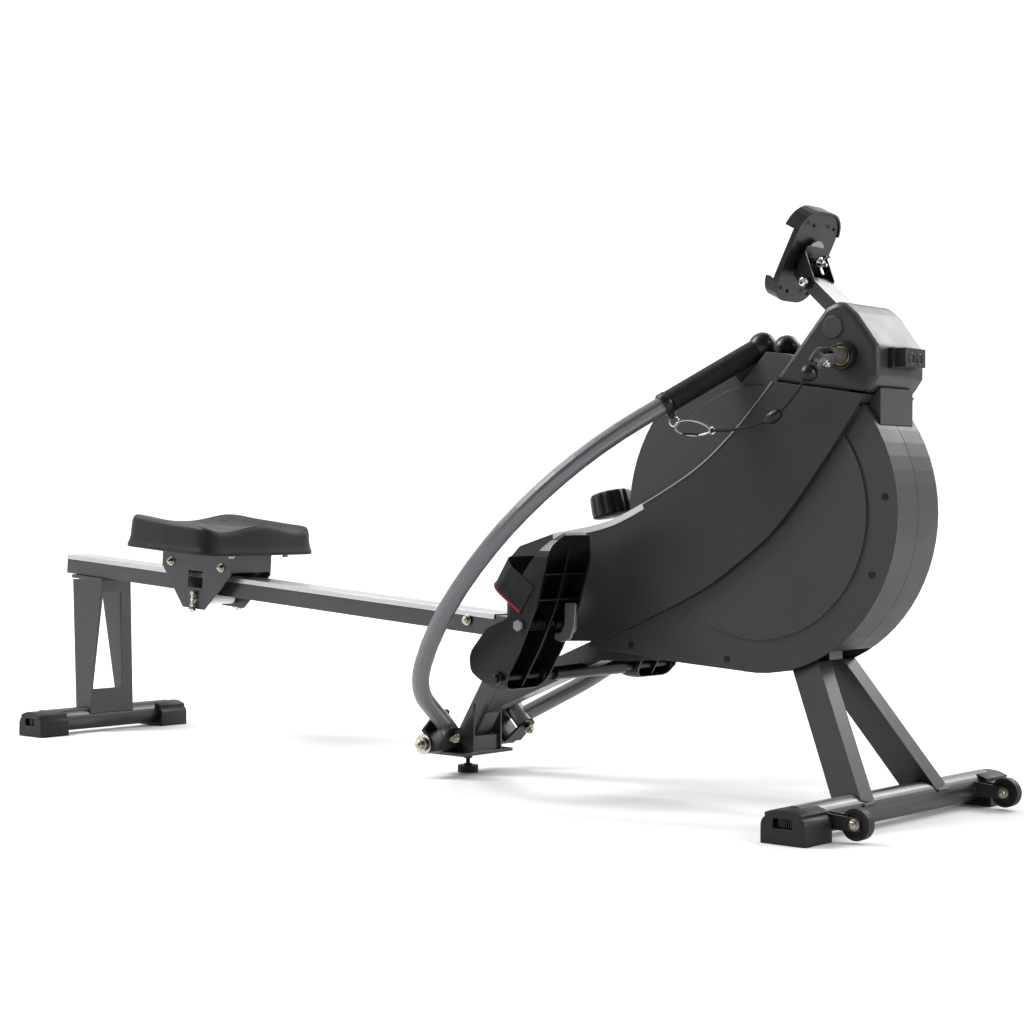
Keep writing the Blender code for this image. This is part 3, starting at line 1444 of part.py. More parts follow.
def holder_jaw():
    """The sprung upper jaw: a tongue in the back plate's groove and a curved lip."""
    frame = holder_frame()
    jaw = slab("holder_jaw", frame, holder_rim(-0.0044), -0.0260, 0.0020, "black_plastic")
    keep = slab("holder_jaw_space", frame, holder_rim(-0.0006), -0.0220, 0.05, "black_plastic")
    window = slab("holder_jaw_window", frame, holder_rim(0.011), -0.0400, -0.0200, "black_plastic")
    below = slab("holder_jaw_below", frame, rectangle(-0.1, -0.1, 0.1, 0.044), -0.05, 0.05, "black_plastic")
    cut(jaw, keep, window, below)
    tongue = slab("holder_tongue", frame, rectangle(-0.0200, 0.024, 0.0200, 0.081), -0.0080, -0.0050, "black_plastic")
    return join(jaw, tongue)


# ---------------------------------------------------------------- assembly


def build_base():
    front_stabilizer()
    stabilizer("rear_stabilizer", REAR_X, REAR_HALF)
    for label, side in SIDES.items():
        end_cap(f"end_cap_front_{label}", FRONT_X, side, FRONT_HALF)
        end_cap(f"end_cap_rear_{label}", REAR_X, side, REAR_HALF)
        front_leg(f"front_leg_{label}", side)
        transport_wheel(f"transport_wheel_{label}", side)
    rear_leg()
    rail_beam()
    rail_track()
    main_post()
    base_tube()
    pivot_axle()
    levelling_foot()


def build_seat():
    seat_carriage()
    roller("rear_roller", 0, ROLLER_RADIUS, "black_plastic")
    roller("front_roller", 1, ROLLER_RADIUS, "black_plastic")
    roller("under_roller", 2, UNDER_ROLLER_RADIUS, "white_roller")
    seat_pad()


def build_arms():
    for label, side in SIDES.items():
        arm_yoke(f"arm_yoke_{label}", side)
        arm_tube(f"arm_tube_{label}", side)
        hand_grip(f"hand_grip_{label}", side)


def build_covers():
    for label, side in SIDES.items():
        disc_shell(f"disc_shell_{label}", side)
        side_cover(f"side_cover_{label}", side)
        cord_bushing(f"cord_bushing_{label}", side)
        cord_swivel(f"cord_swivel_{label}", side)
        pull_cord(f"pull_cord_{label}", side)
    head_cover()
    neck_cover()
    head_bumper()


def build_drive():
    flywheel_axle()
    flywheel()
    spool_axle()
    cord_spool()
    drive_belt()
    magnet_arm()
    tension_knob()


def build_footrests():
    footrest_axle()
    for label, side in SIDES.items():
        footplate(f"footplate_{label}", side)
        lock_lever(f"lock_lever_{label}", side)
        foot_strap(f"foot_strap_{label}", side)


def build_holder():
    holder_arm()
    tilt_bracket()
    holder_plate()
    holder_jaw()


clear_scene()
build_base()
build_seat()
build_arms()
build_covers()
build_drive()
build_footrests()
build_holder()
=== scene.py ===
"""The looks of a magnetic rowing machine with swing arms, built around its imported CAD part.

Metres, X along the machine with the flywheel at +X, Y across it, Z up, near side at -Y.
"""

import json
from math import atan2, cos, pi, radians, sin, tan

import bmesh
import bpy
from mathutils import Matrix, Vector


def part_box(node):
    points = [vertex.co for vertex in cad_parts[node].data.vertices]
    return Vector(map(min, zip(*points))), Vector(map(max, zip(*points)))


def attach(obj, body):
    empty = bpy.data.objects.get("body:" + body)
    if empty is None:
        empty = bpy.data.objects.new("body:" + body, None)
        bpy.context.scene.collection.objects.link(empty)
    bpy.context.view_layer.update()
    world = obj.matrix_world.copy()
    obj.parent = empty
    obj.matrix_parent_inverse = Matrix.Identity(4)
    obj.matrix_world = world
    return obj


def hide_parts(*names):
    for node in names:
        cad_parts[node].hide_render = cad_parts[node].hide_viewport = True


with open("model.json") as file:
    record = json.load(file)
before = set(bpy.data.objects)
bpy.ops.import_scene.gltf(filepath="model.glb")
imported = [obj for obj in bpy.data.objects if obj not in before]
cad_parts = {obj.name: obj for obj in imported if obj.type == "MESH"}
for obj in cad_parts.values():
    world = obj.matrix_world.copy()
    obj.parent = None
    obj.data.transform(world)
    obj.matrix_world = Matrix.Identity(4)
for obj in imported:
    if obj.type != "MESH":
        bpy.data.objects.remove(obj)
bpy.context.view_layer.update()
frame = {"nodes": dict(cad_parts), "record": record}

SIDES = {"near": -1, "far": 1}

# ---- sizes shared with the CAD part

GAP = 0.0004
FRONT_X = 1.015
REAR_X = -1.015
STABILIZER_Z = 0.031
FRONT_HALF = 0.322
REAR_HALF = 0.204
ENDS = (("front", FRONT_X, FRONT_HALF), ("rear", REAR_X, REAR_HALF))
TRANSPORT_WHEEL = (1.0914, 0.0293)
TRANSPORT_WHEEL_Y = 0.234
RAIL_SLOPE = radians(3.93)
RAIL_REAR_X = -1.1128
RAIL_REAR_TOP = 0.3938
CARRIAGE_X = -0.638
CARRIAGE_TOP = 0.050
PIVOT_AXLE = (0.0902, 0.0625)
ARM_LEAN = radians(45.8)
PIN = (0.130, 0.106, 0.100)
ARM_START_HEADING = 145.0
ARM_CHAIN = ((0.123, 0), (0.147, -29.8), (0.300, -29.9), (0.329, -41.2), (0.236, 0))
ARM_RADIUS = 0.0155
GRIP_LENGTH = 0.182
GRIP_RADIUS = 0.0185
GRIP_RIBS = 48
BALL_RADIUS = 0.0236
RING_RADIUS = 0.0085
SHELL_HALF = 0.064
BAND_HALF = 0.078
HEAD_HALF = 0.075
SWIVEL = (0.9655, 0.7457)
CORD_DIRECTION = (-0.60, -0.80)
CORD_EXIT_Y = 0.142
CORD_RADIUS = 0.0025
STOPPER_RADIUS = 0.0139
FOOT_AXLE = (0.383, 0.2095)
FOOT_OUTER = 0.245
FOOT_INNER = 0.127
LOCK_SHAFT = (0.4305, 0.3015)
HOLDER_LEAN = radians(27)
HOLDER_CENTRE = (0.848, 0.9175)
HOLDER_PIVOT = (0.8665, 0.8740)
KNOB = (0.438, 0.5080)
KNOB_LEAN = radians(14)

# ---- frames of reference


class Frame:
    """An origin with three directions, which turns local (a, b, c) into a world point."""

    def __init__(self, origin, u, v, w):
        self.origin = Vector(origin)
        self.u = Vector(u)
        self.v = Vector(v)
        self.w = Vector(w)

    def point(self, a, b, c=0.0):
        return self.origin + self.u * a + self.v * b + self.w * c

    def at(self, a, b, c=0.0):
        """The same directions from another origin."""
        return Frame(self.point(a, b, c), self.u, self.v, self.w)

    def flipped(self):
        """The same origin with w the other way."""
        return Frame(self.origin, self.u, self.v, -self.w)


def along_axis(origin, axis):
    """A frame whose w runs along the axis."""
    w = Vector(axis).normalized()
    helper = Vector((0, 0, 1)) if abs(w.z) < 0.9 else Vector((1, 0, 0))
    u = helper.cross(w).normalized()
    return Frame(origin, u, w.cross(u), w)


def outward(side, x, z, y=0.0):
    """Origin on the side view's point, w pointing away from the machine's middle."""
    return Frame((x, side * y, z), (1, 0, 0), (0, 0, 1), (0, side, 0))


def rail_frame(x):
    """Origin on the rail's top line at x: u along the rail, v out of its top, w across it."""
    z = RAIL_REAR_TOP - tan(RAIL_SLOPE) * (x - RAIL_REAR_X)
    along = (cos(RAIL_SLOPE), 0, -sin(RAIL_SLOPE))
    out = (sin(RAIL_SLOPE), 0, cos(RAIL_SLOPE))
    return Frame((x, 0, z), along, out, (0, 1, 0))


def arm_frame(side):
    """Origin on the spread pin: u outwards, v up the leaning plane of the arm, w along the pin."""
    up = (cos(ARM_LEAN), 0, sin(ARM_LEAN))
    across = (sin(ARM_LEAN), 0, -cos(ARM_LEAN))
    return Frame((PIN[0], side * PIN[1], PIN[2]), (0, side, 0), up, across)


def holder_frame():
    """Origin at the middle of the back plate: u across, v up its length, w out of its back."""
    up = (sin(HOLDER_LEAN), 0, cos(HOLDER_LEAN))
    back = (cos(HOLDER_LEAN), 0, -sin(HOLDER_LEAN))
    return Frame((HOLDER_CENTRE[0], 0, HOLDER_CENTRE[1]), (0, 1, 0), up, back)


def swivel_frame(side):
    """Origin where the swivel's axis meets the centre plane: u along the cord, v across it, w outwards."""
    along = (CORD_DIRECTION[0], 0, CORD_DIRECTION[1])
    across = (-CORD_DIRECTION[1], 0, CORD_DIRECTION[0])
    return Frame((SWIVEL[0], 0, SWIVEL[1]), along, across, (0, side, 0))


def knob_frame():
    """Origin at the knob's centre on the deck: u towards the front, v across, w out of the deck."""
    along = (cos(KNOB_LEAN), 0, sin(KNOB_LEAN))
    up = (-sin(KNOB_LEAN), 0, cos(KNOB_LEAN))
    return Frame((KNOB[0], 0, KNOB[1]), along, (0, 1, 0), up)


# ---- outlines


def arc(centre, radius, start, end, steps):
    """Points on a circle from start to end, in degrees, both ends included."""
    angles = [radians(start + (end - start) * i / steps) for i in range(steps + 1)]
    return [(centre[0] + radius * cos(a), centre[1] + radius * sin(a)) for a in angles]


def rounded(corners, steps=6):
    """Corners are (a, b, radius). Each corner with a radius becomes an arc."""
    outline = []
    for i, (a, b, radius) in enumerate(corners):
        here = Vector((a, b))
        if radius == 0:
            outline.append((a, b))
            continue
        before = (Vector(corners[i - 1][:2]) - here).normalized()
        after = (Vector(corners[(i + 1) % len(corners)][:2]) - here).normalized()
        half = before.angle(after) / 2
        middle = here + (before + after).normalized() * (radius / sin(half))
        first = here + before * (radius / tan(half)) - middle
        last = here + after * (radius / tan(half)) - middle
        start = atan2(first.y, first.x)
        turn = (atan2(last.y, last.x) - start + pi) % (2 * pi) - pi
        for k in range(steps + 1):
            angle = start + turn * k / steps
            outline.append((middle.x + radius * cos(angle), middle.y + radius * sin(angle)))
    return outline


def round_box(half_a, half_b, radius, steps=4):
    corners = [(-half_a, -half_b), (half_a, -half_b), (half_a, half_b), (-half_a, half_b)]
    return rounded([(a, b, radius) for a, b in corners], steps)


def curve_through(points, steps):
    """A smooth curve through the points, a few steps for each stretch."""
    padded = [Vector(points[0]) * 2 - Vector(points[1])]
    padded += [Vector(p) for p in points]
    padded += [Vector(points[-1]) * 2 - Vector(points[-2])]
    found = []
    for i in range(1, len(padded) - 2):
        p0, p1, p2, p3 = padded[i - 1 : i + 3]
        for k in range(steps):
            t = k / steps
            cubic = 3 * p1 - 3 * p2 + p3 - p0
            square = 2 * p0 - 5 * p1 + 4 * p2 - p3
            found.append(tuple(p1 + ((p2 - p0) * t + square * t * t + cubic * t**3) / 2))
    found.append(tuple(padded[-2]))
    return found


# ---- shapes


def loft(bm, rings, closed=False, first=True, last=True):
    """Walls from each ring of points to the next, with a face on the first and the last ring."""
    following = rings[1:] + rings[:1] if closed else rings[1:]
    for lower, upper in zip(rings, following):
        for k in range(len(lower)):
            j = (k + 1) % len(lower)
            bm.faces.new((lower[k], lower[j], upper[j], upper[k]))
    if first and not closed:
        bm.faces.new(list(reversed(rings[0])))
    if last and not closed:
        bm.faces.new(rings[-1])


def ring_edges(bm, ring):
    return [bm.edges.get((ring[k - 1], ring[k])) for k in range(len(ring))]


def circle(centre, u, v, radius, count):
    """Points on a circle in the plane of the directions u and v."""
    angles = [2 * pi * k / count for k in range(count)]
    return [centre + u * (radius * cos(a)) + v * (radius * sin(a)) for a in angles]


def add_slab(bm, place, outline, low, high):
    """The outline, in the frame's u and v, extruded along w from low to high."""
    loft(bm, [[bm.verts.new(place.point(a, b, level)) for a, b in outline] for level in (low, high)])


def add_turned(bm, place, profile, sides=32, scallop=None):
    """Turns (height along w, radius) about the frame's w, with both ends closed."""
    rings = []
    for height, radius in profile:
        ring = []
        for k in range(sides):
            angle = 2 * pi * k / sides
            reach = radius if scallop is None else radius * scallop(angle)
            ring.append(bm.verts.new(place.point(reach * cos(angle), reach * sin(angle), height)))
        rings.append(ring)
    loft(bm, rings)


def add_ring(bm, place, profile, sides=48):
    """Turns a closed (height, radius) outline about w, which leaves a hole in the middle."""
    rings = []
    for k in range(sides):
        a = 2 * pi * k / sides
        rings.append([bm.verts.new(place.point(r * cos(a), r * sin(a), h)) for h, r in profile])
    loft(bm, rings, closed=True)


def add_tube(bm, points, radius, sides=12, closed=False, radii=None, squash=1.0):
    """A round bar through the points, its section carried along without twist."""
    points = [Vector(p) for p in points]
    count = len(points)
    directions = []
    for i in range(count):
        if closed:
            step = points[(i + 1) % count] - points[i - 1]
        else:
            step = points[min(i + 1, count - 1)] - points[max(i - 1, 0)]
        directions.append(step.normalized())
    helper = Vector((0, 0, 1)) if abs(directions[0].z) < 0.9 else Vector((1, 0, 0))
    normal = directions[0].cross(helper).normalized()
    rings = []
    for i in range(count):
        normal = (normal - directions[i] * normal.dot(directions[i])).normalized()
        across = directions[i].cross(normal) * squash
        reach = radius if radii is None else radii[i]
        rings.append([bm.verts.new(p) for p in circle(points[i], normal, across, reach, sides)])
    loft(bm, rings, closed)


def add_ball(bm, centre, radius, rings):
    made = bmesh.ops.create_uvsphere(bm, u_segments=2 * rings, v_segments=rings, radius=radius)
    bmesh.ops.translate(bm, verts=made["verts"], vec=centre)


def add_object(name, data):
    obj = bpy.data.objects.new(name, data)
    bpy.context.scene.collection.objects.link(obj)
    return obj


def mesh_object(name, bm, look):
    mesh = bpy.data.meshes.new(name)
    bm.to_mesh(mesh)
    bm.free()
    mesh.materials.append(LOOKS[look])
    return add_object(name, mesh)


def piece(name, bm, look, body, bevel=0.0, replaces=()):
    """A shown piece that moves with a CAD body. bevel rounds its sharp edges, in metres."""
    bm.normal_update()
    bmesh.ops.recalc_face_normals(bm, faces=bm.faces)
    obj = mesh_object(name, bm, look)
    obj.data.shade_smooth()
    obj.data.set_sharp_from_angle(angle=radians(38))
    if bevel:
        edge = obj.modifiers.new("rounded edges", "BEVEL")
        edge.width = bevel
        edge.segments = 2
        edge.limit_method = "ANGLE"
        edge.angle_limit = radians(40)
    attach(obj, body)
    if replaces:
        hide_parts(*replaces)
    return obj


def single(name, look, body, slot, add, *shape, bevel=0.0, replaces=(), **settings):
    """A piece of one shape, which add makes from the rest."""
    bm = bmesh.new()
    add(bm, *shape, **settings)
    return piece(name, bm, look, body, bevel, replaces)


# ---- materials


class Tree:
    """A short way to write a node tree."""

    def __init__(self, tree, coordinates):
        self.tree = tree
        self.place = self.add("ShaderNodeTexCoord").outputs[coordinates]

    def add(self, kind, values=None, **settings):
        node = self.tree.nodes.new(kind)
        for key, value in settings.items():
            setattr(node, key, value)
        for key, value in (values or {}).items():
            node.inputs[key].default_value = value
        return node

    def link(self, source, target):
        self.tree.links.new(source, target)

    def ramp(self, value, low, high, start=0.3, end=0.7, **settings):
        """From low to high as the value goes from start to end, the middle of a noise unless given."""
        values = {"From Min": start, "From Max": end, "To Min": low, "To Max": high}
        node = self.add("ShaderNodeMapRange", values, **settings)
        self.link(value, node.inputs["Value"])
        return node.outputs["Result"]


LOOKS = {}


class Nodes(Tree):
    """The node tree of a new material, which is kept in LOOKS under its name."""

    def __init__(self, name):
        material = bpy.data.materials.new(name)
        material.use_nodes = True
        LOOKS[name] = material
        super().__init__(material.node_tree, "Object")
        self.shader = self.tree.nodes["Principled BSDF"]

    def noise(self, scale, detail=3.0, stretch=(1, 1, 1)):
        mapping = self.add("ShaderNodeMapping", {"Scale": stretch})
        self.link(self.place, mapping.inputs["Vector"])
        node = self.add("ShaderNodeTexNoise", {"Scale": scale, "Detail": detail, "Roughness": 0.55})
        self.link(mapping.outputs["Vector"], node.inputs["Vector"])
        return node.outputs["Fac"]

    def colour(self, factor, first, second):
        """Mixes two colours into the shader's base colour."""
        node = self.add("ShaderNodeMix", {"A": (*first, 1.0), "B": (*second, 1.0)}, data_type="RGBA")
        self.link(factor, node.inputs["Factor"])
        self.link(node.outputs["Result"], self.shader.inputs["Base Color"])
        return node.outputs["Result"]

    def gloss(self, value, low, high):
        self.link(self.ramp(value, low, high), self.shader.inputs["Roughness"])

    def relief(self, height, strength, distance):
        node = self.add("ShaderNodeBump", {"Strength": strength, "Distance": distance})
        self.link(height, node.inputs["Height"])
        self.link(node.outputs["Normal"], self.shader.inputs["Normal"])
        return node


def scaled(colour, factor):
    return tuple(min(1.0, c * factor) for c in colour)


def surface(name, colour, contrast=0.10, patch=9.0, roughness=0.45, spread=0.06, grain=600.0, bump=0.05,
            depth=0.0004, metallic=0.0, edge=0.0012, stretch=(1, 1, 1), coat=0.0, specular=0.5):
    """A painted, moulded or metal surface: soft patches of tone, uneven gloss and a fine grain."""
    nodes = Nodes(name)
    tone = nodes.ramp(nodes.noise(patch, 4.0), 0.0, 1.0)
    nodes.colour(tone, scaled(colour, 1 - contrast), scaled(colour, 1 + contrast))
    nodes.gloss(nodes.noise(patch * 3.1, 5.0, stretch), roughness - spread, roughness + spread)
    nodes.shader.inputs["Metallic"].default_value = metallic
    nodes.shader.inputs["Specular IOR Level"].default_value = specular
    nodes.shader.inputs["Coat Weight"].default_value = coat
    nodes.shader.inputs["Coat Roughness"].default_value = 0.22
    relief = nodes.relief(nodes.noise(grain, 2.0, stretch), bump, depth)
    if edge:
        soft = nodes.add("ShaderNodeBevel", {"Radius": edge}, samples=4)
        nodes.link(soft.outputs["Normal"], relief.inputs["Normal"])


def woven(name, colour, pitch=900.0):
    """Webbing: a crossed weave of two sets of threads."""
    nodes = Nodes(name)
    both = nodes.add("ShaderNodeMath", operation="MULTIPLY")
    for k, direction in enumerate(("DIAGONAL", "Z")):
        wave = nodes.add("ShaderNodeTexWave", {"Scale": pitch, "Distortion": 0.4}, bands_direction=direction)
        nodes.link(nodes.place, wave.inputs["Vector"])
        nodes.link(wave.outputs["Fac"], both.inputs[k])
    nodes.colour(both.outputs["Value"], scaled(colour, 0.6), scaled(colour, 1.5))
    nodes.gloss(nodes.noise(40.0), 0.72, 0.9)
    nodes.relief(both.outputs["Value"], 0.5, 0.0006)


BRUSHED = (0.04, 1, 1)

# Colour, its contrast, the patches' scale, roughness, its spread, the grain's scale, bump, its depth.
surface("frame_paint", (0.060, 0.0615, 0.066), 0.07, 6, 0.33, 0.03, 900, 0.04, metallic=0.55,
        edge=0.0022, coat=0.25)
surface("arm_paint", (0.150, 0.153, 0.160), 0.04, 5, 0.38, 0.02, 350, 0.008, metallic=0.6, edge=0.0,
        coat=0.1)
surface("track_metal", (0.50, 0.50, 0.51), 0.05, 5, 0.34, 0.06, 500, 0.10, metallic=0.9, stretch=BRUSHED)
surface("cover_plastic", (0.034, 0.0345, 0.036), 0.05, 5, 0.46, 0.04, 1300, 0.16, edge=0.0018)
surface("band_plastic", (0.026, 0.0265, 0.028), 0.05, 5, 0.40, 0.04, 1500, 0.06, edge=0.0022, specular=0.40)
surface("neck_plastic", (0.030, 0.0305, 0.032), 0.05, 6, 0.42, 0.05, 1300, 0.12, edge=0.002)
# The next two pale greys are painted highlight on the band's bevel; the lighter one is also the knob pointer's
# own pale colour.
surface("painted_edge_highlight", (0.13, 0.13, 0.135), 0.05, 8, 0.34, 0.05, 1500, 0.05)
surface("pale_mark_and_painted_highlight", (0.46, 0.46, 0.465), 0.05, 8, 0.34, 0.05, 1500, 0.05)
surface("cap_plastic", (0.016, 0.0165, 0.0175), 0.12, 12, 0.46, 0.06, 700, 0.35, 0.0006, edge=0.002,
        specular=0.4)
surface("black_plastic", (0.010, 0.010, 0.011), 0.12, 10, 0.34, 0.06, 900, 0.14, edge=0.0012, specular=0.38)
surface("gloss_black", (0.010, 0.010, 0.011), 0.10, 12, 0.20, 0.05, 900, 0.04, edge=0.0008)
surface("rubber", (0.012, 0.012, 0.0125), 0.12, 16, 0.58, 0.07, 800, 0.25, edge=0.001)
surface("foam", (0.0075, 0.0075, 0.008), 0.10, 14, 0.48, 0.06, 520, 0.55, 0.0007, edge=0.0, specular=0.42)
surface("grip_foam", (0.008, 0.008, 0.0085), 0.12, 30, 0.58, 0.06, 900, 0.5, 0.0006, edge=0.0,
        specular=0.35)
surface("steel", (0.46, 0.455, 0.44), 0.05, 9, 0.24, 0.05, 900, 0.04, metallic=1.0, edge=0.0004)
surface("zinc", (0.48, 0.45, 0.38), 0.06, 12, 0.28, 0.06, 900, 0.05, metallic=1.0, edge=0.0004)
surface("brass", (0.34, 0.24, 0.10), 0.06, 12, 0.30, 0.06, 900, 0.05, metallic=1.0, edge=0.0004)
surface("dark_steel", (0.045, 0.046, 0.049), 0.08, 12, 0.34, 0.05, 900, 0.06, metallic=0.9, edge=0.0005)
surface("cast_iron", (0.12, 0.12, 0.125), 0.15, 20, 0.5, 0.1, 300, 0.4, metallic=0.9)
surface("white_roller", (0.70, 0.70, 0.69), 0.06, 30, 0.4, 0.06, 700, 0.1)
surface("plate_grey", (0.22, 0.22, 0.225), 0.06, 12, 0.36, 0.07, 900, 0.12, metallic=0.4)
surface("weld", (0.095, 0.097, 0.100), 0.20, 90, 0.38, 0.10, 260, 0.7, 0.0012, metallic=0.6, edge=0.0)
# Near-black painted shade for the insides of screw recesses and slots.
surface("painted_hole_shade", (0.004, 0.004, 0.004), 0.2, 30, 0.7, 0.1, 700, 0.1, edge=0.0)
woven("webbing", (0.012, 0.012, 0.013))
woven("red_trim", (0.42, 0.012, 0.018))
woven("cord", (0.010, 0.010, 0.011), 1400.0)

NODE_LOOKS = {
    "side_cover_near": "band_plastic",
    "side_cover_far": "band_plastic",
    "head_cover": "band_plastic",
    "neck_cover": "neck_plastic",
    "head_bumper": "rubber",
    "cord_bushing_near": "gloss_black",
    "cord_bushing_far": "gloss_black",
    "holder_arm": "frame_paint",
    "footrest_axle": "dark_steel",
    "lock_lever_near": "plate_grey",
    "lock_lever_far": "plate_grey",
    "cord_swivel_near": "arm_paint",
    "cord_swivel_far": "arm_paint",
    "tilt_bracket": "black_plastic",
}


def dress_cad_nodes():
    """Every CAD node takes the look of its slot, or its own where one is listed."""
    slots = {part["node"]: part["material_slot"] for part in frame["record"]["subparts"]}
    for name, node in frame["nodes"].items():
        look = NODE_LOOKS.get(name, slots[name])
        node.data.materials.clear()
        node.data.materials.append(LOOKS[look])


# ---- seat

SEAT_X = CARRIAGE_X + 0.011
SEAT_HALF_LENGTH = 0.140
SEAT_HALF_WIDTH = 0.162
SEAT_POINTS = 144


def smoothstep(low, high, value):
    t = min(1.0, max(0.0, (value - low) / (high - low)))
    return t * t * (3 - 2 * t)


def seat_height(s, t):
    """The seat's height over the carriage: s runs from rear -1 to front 1, t from the middle 0 to a side 1."""
    t = abs(t)
    rear = 0.054 + 0.017 * smoothstep(0.05, 0.85, t)
    front = 0.0655 - 0.016 * sin(min(t / 0.66, 1.0) * pi / 2) ** 2 + 0.014 * smoothstep(0.70, 1.0, t)
    middle = 0.040 - 0.006 * sin(min(t / 0.45, 2.0) * pi / 2) ** 2 + 0.020 * smoothstep(0.60, 1.0, t)
    q = (s + 1) / 2
    return rear * (1 - q) ** 2 + middle * 2 * q * (1 - q) + front * q * q


def seat_outline():
    """The seat from above, as points at even steps along its rounded edge."""
    corners = [
        (-SEAT_HALF_LENGTH, -0.156, 0.036),
        (0.0, -SEAT_HALF_WIDTH, 0.30),
        (SEAT_HALF_LENGTH - 0.004, -0.158, 0.038),
        (SEAT_HALF_LENGTH + 0.001, 0.0, 0.9),
        (SEAT_HALF_LENGTH - 0.004, 0.158, 0.038),
        (0.0, SEAT_HALF_WIDTH, 0.30),
        (-SEAT_HALF_LENGTH, 0.156, 0.036),
        (-SEAT_HALF_LENGTH - 0.001, 0.0, 0.9),
    ]
    coarse = rounded(corners, 8)
    closed = [Vector(p) for p in coarse] + [Vector(coarse[0])]
    lengths = [(b - a).length for a, b in zip(closed, closed[1:])]
    points = []
    for k in range(SEAT_POINTS):
        goal = sum(lengths) * k / SEAT_POINTS
        i = 0
        while goal > lengths[i]:
            goal -= lengths[i]
            i += 1
        points.append(closed[i].lerp(closed[i + 1], goal / lengths[i]))
    return points


def make_seat():
    """The moulded foam seat: a raised rear with two hollows, thigh channels in front and flared sides."""
    rail = rail_frame(SEAT_X)
    outline = seat_outline()
    base = CARRIAGE_TOP + GAP
    # Each ring is the outline times a share. Over the top it goes with a drop below seat_height.
    shares = (0.06, 0.14, 0.22, 0.30, 0.38, 0.46, 0.54, 0.62, 0.69, 0.75, 0.80, 0.84, 0.872, 0.898)
    top = [(share, 0.0) for share in shares]
    top += [(0.918, 0.0008), (0.934, 0.0028), (0.946, 0.0062), (0.954, 0.0110), (0.960, 0.0165)]
    # Down the sides and under the lip it goes with its own height.
    sides = [(0.968, 0.0240), (0.978, 0.0160), (0.990, 0.0100), (0.998, 0.0065), (1.0, 0.0035),
             (0.998, 0.0010), (0.990, -0.0002), (0.965, -0.0002), (0.93, 0.0008), (0.88, 0.0024)]
    bm = bmesh.new()
    rings = []
    for share, drop in top:
        ring = []
        for a, b in [p * share for p in outline]:
            height = seat_height(a / SEAT_HALF_LENGTH, b / SEAT_HALF_WIDTH) - drop
            ring.append(bm.verts.new(rail.point(a, base + height, b)))
        rings.append(ring)
    for share, height in sides:
        rings.append([bm.verts.new(rail.point(p.x * share, base + height, p.y * share)) for p in outline])
    rings.append([bm.verts.new(rail.point(p.x * 0.42, base + 0.0018, p.y * 0.36)) for p in outline])
    loft(bm, rings, first=False)
    middle = bm.verts.new(rail.point(0, base + seat_height(0, 0)))
    for k in range(SEAT_POINTS):
        bm.faces.new((middle, rings[0][k - 1], rings[0][k]))
    seat = piece("seat_cushion", bm, "foam", "seat", replaces=("seat_pad",))
    smooth = seat.modifiers.new("smooth", "SUBSURF")
    smooth.levels = smooth.render_levels = 1


# ---- fasteners

WASHER = 0.0014


def add_hex(bm, place, across, height, start=0.0):
    """A hexagonal nut or head whose corners are chamfered."""
    radius = across / 2 / cos(pi / 6)
    profile = [(start, radius * 0.94), (start + height * 0.12, radius), (start + height * 0.86, radius),
               (start + height, radius * 0.86)]
    add_turned(bm, place, profile, 6)


def add_washer(bm, place, radius, thickness, start=0.0):
    profile = [(start, radius * 0.97), (start + thickness * 0.3, radius), (start + thickness * 0.7, radius),
               (start + thickness, radius * 0.96)]
    add_turned(bm, place, profile, 28)


def hex_bolt(name, place, size, body, look="zinc", tip=0.0):
    """A hexagon head on a washer; size is the width across the flats."""
    bm = bmesh.new()
    add_washer(bm, place, size * 0.78, WASHER)
    add_hex(bm, place, size, size * 0.48, WASHER)
    if tip:
        top, thread = WASHER + size * 0.48, size * 0.27
        add_turned(bm, place, [(top, thread), (top + tip * 0.8, thread), (top + tip, size * 0.20)], 16)
    piece(name, bm, look, body, bevel=0.0003)


def socket_bolt(name, place, radius, body, look="zinc"):
    """A round head with a socket sunk into it."""
    height = radius * 0.9
    profile = [(0, radius), (height * 0.6, radius), (height * 0.9, radius * 0.88), (height, radius * 0.62),
               (height * 0.96, radius * 0.52), (height * 0.35, radius * 0.50)]
    single(name, look, body, "steel", add_turned, place, profile, 30, bevel=0.0002)


def recessed_screw(name, place, radius, body):
    """A dark round recess with a small screw head at its bottom, seen as a ring on a moulding; the recess and
    the head are a near-black disc of painted shade.
    """
    rim = [(-0.002, radius), (0.0005, radius), (0.0007, radius * 0.94), (0.0004, radius * 0.86),
           (-0.002, radius * 0.84)]
    single(name + "_rim", "black_plastic", body, "black_plastic", add_ring, place, rim, 28)
    bm = bmesh.new()
    add_turned(bm, place, [(-0.002, radius * 0.85), (0.0001, radius * 0.85)], 28)
    add_turned(bm, place, [(0.0001, radius * 0.50), (0.0004, radius * 0.48), (0.0004, radius * 0.2)], 12)
    piece(name, bm, "painted_hole_shade", body)


# ---- swing arms and grips


def arm_line(side):
    """Where the straight last part of an arm ends, and its direction."""
    place = Vector((0.0, 0.0))
    heading = ARM_START_HEADING
    for length, turn in ARM_CHAIN:
        steps = 1 if turn == 0 else max(4, round(abs(turn) / 5))
        for _ in range(steps):
            middle = radians(heading + turn / steps / 2)
            place = place + Vector((-cos(middle), sin(middle))) * (length / steps)
            heading += turn / steps
    angle = radians(heading)
    plane = arm_frame(side)
    direction = plane.u * -cos(angle) + plane.v * sin(angle)
    return plane.point(place.x, place.y), direction.normalized()


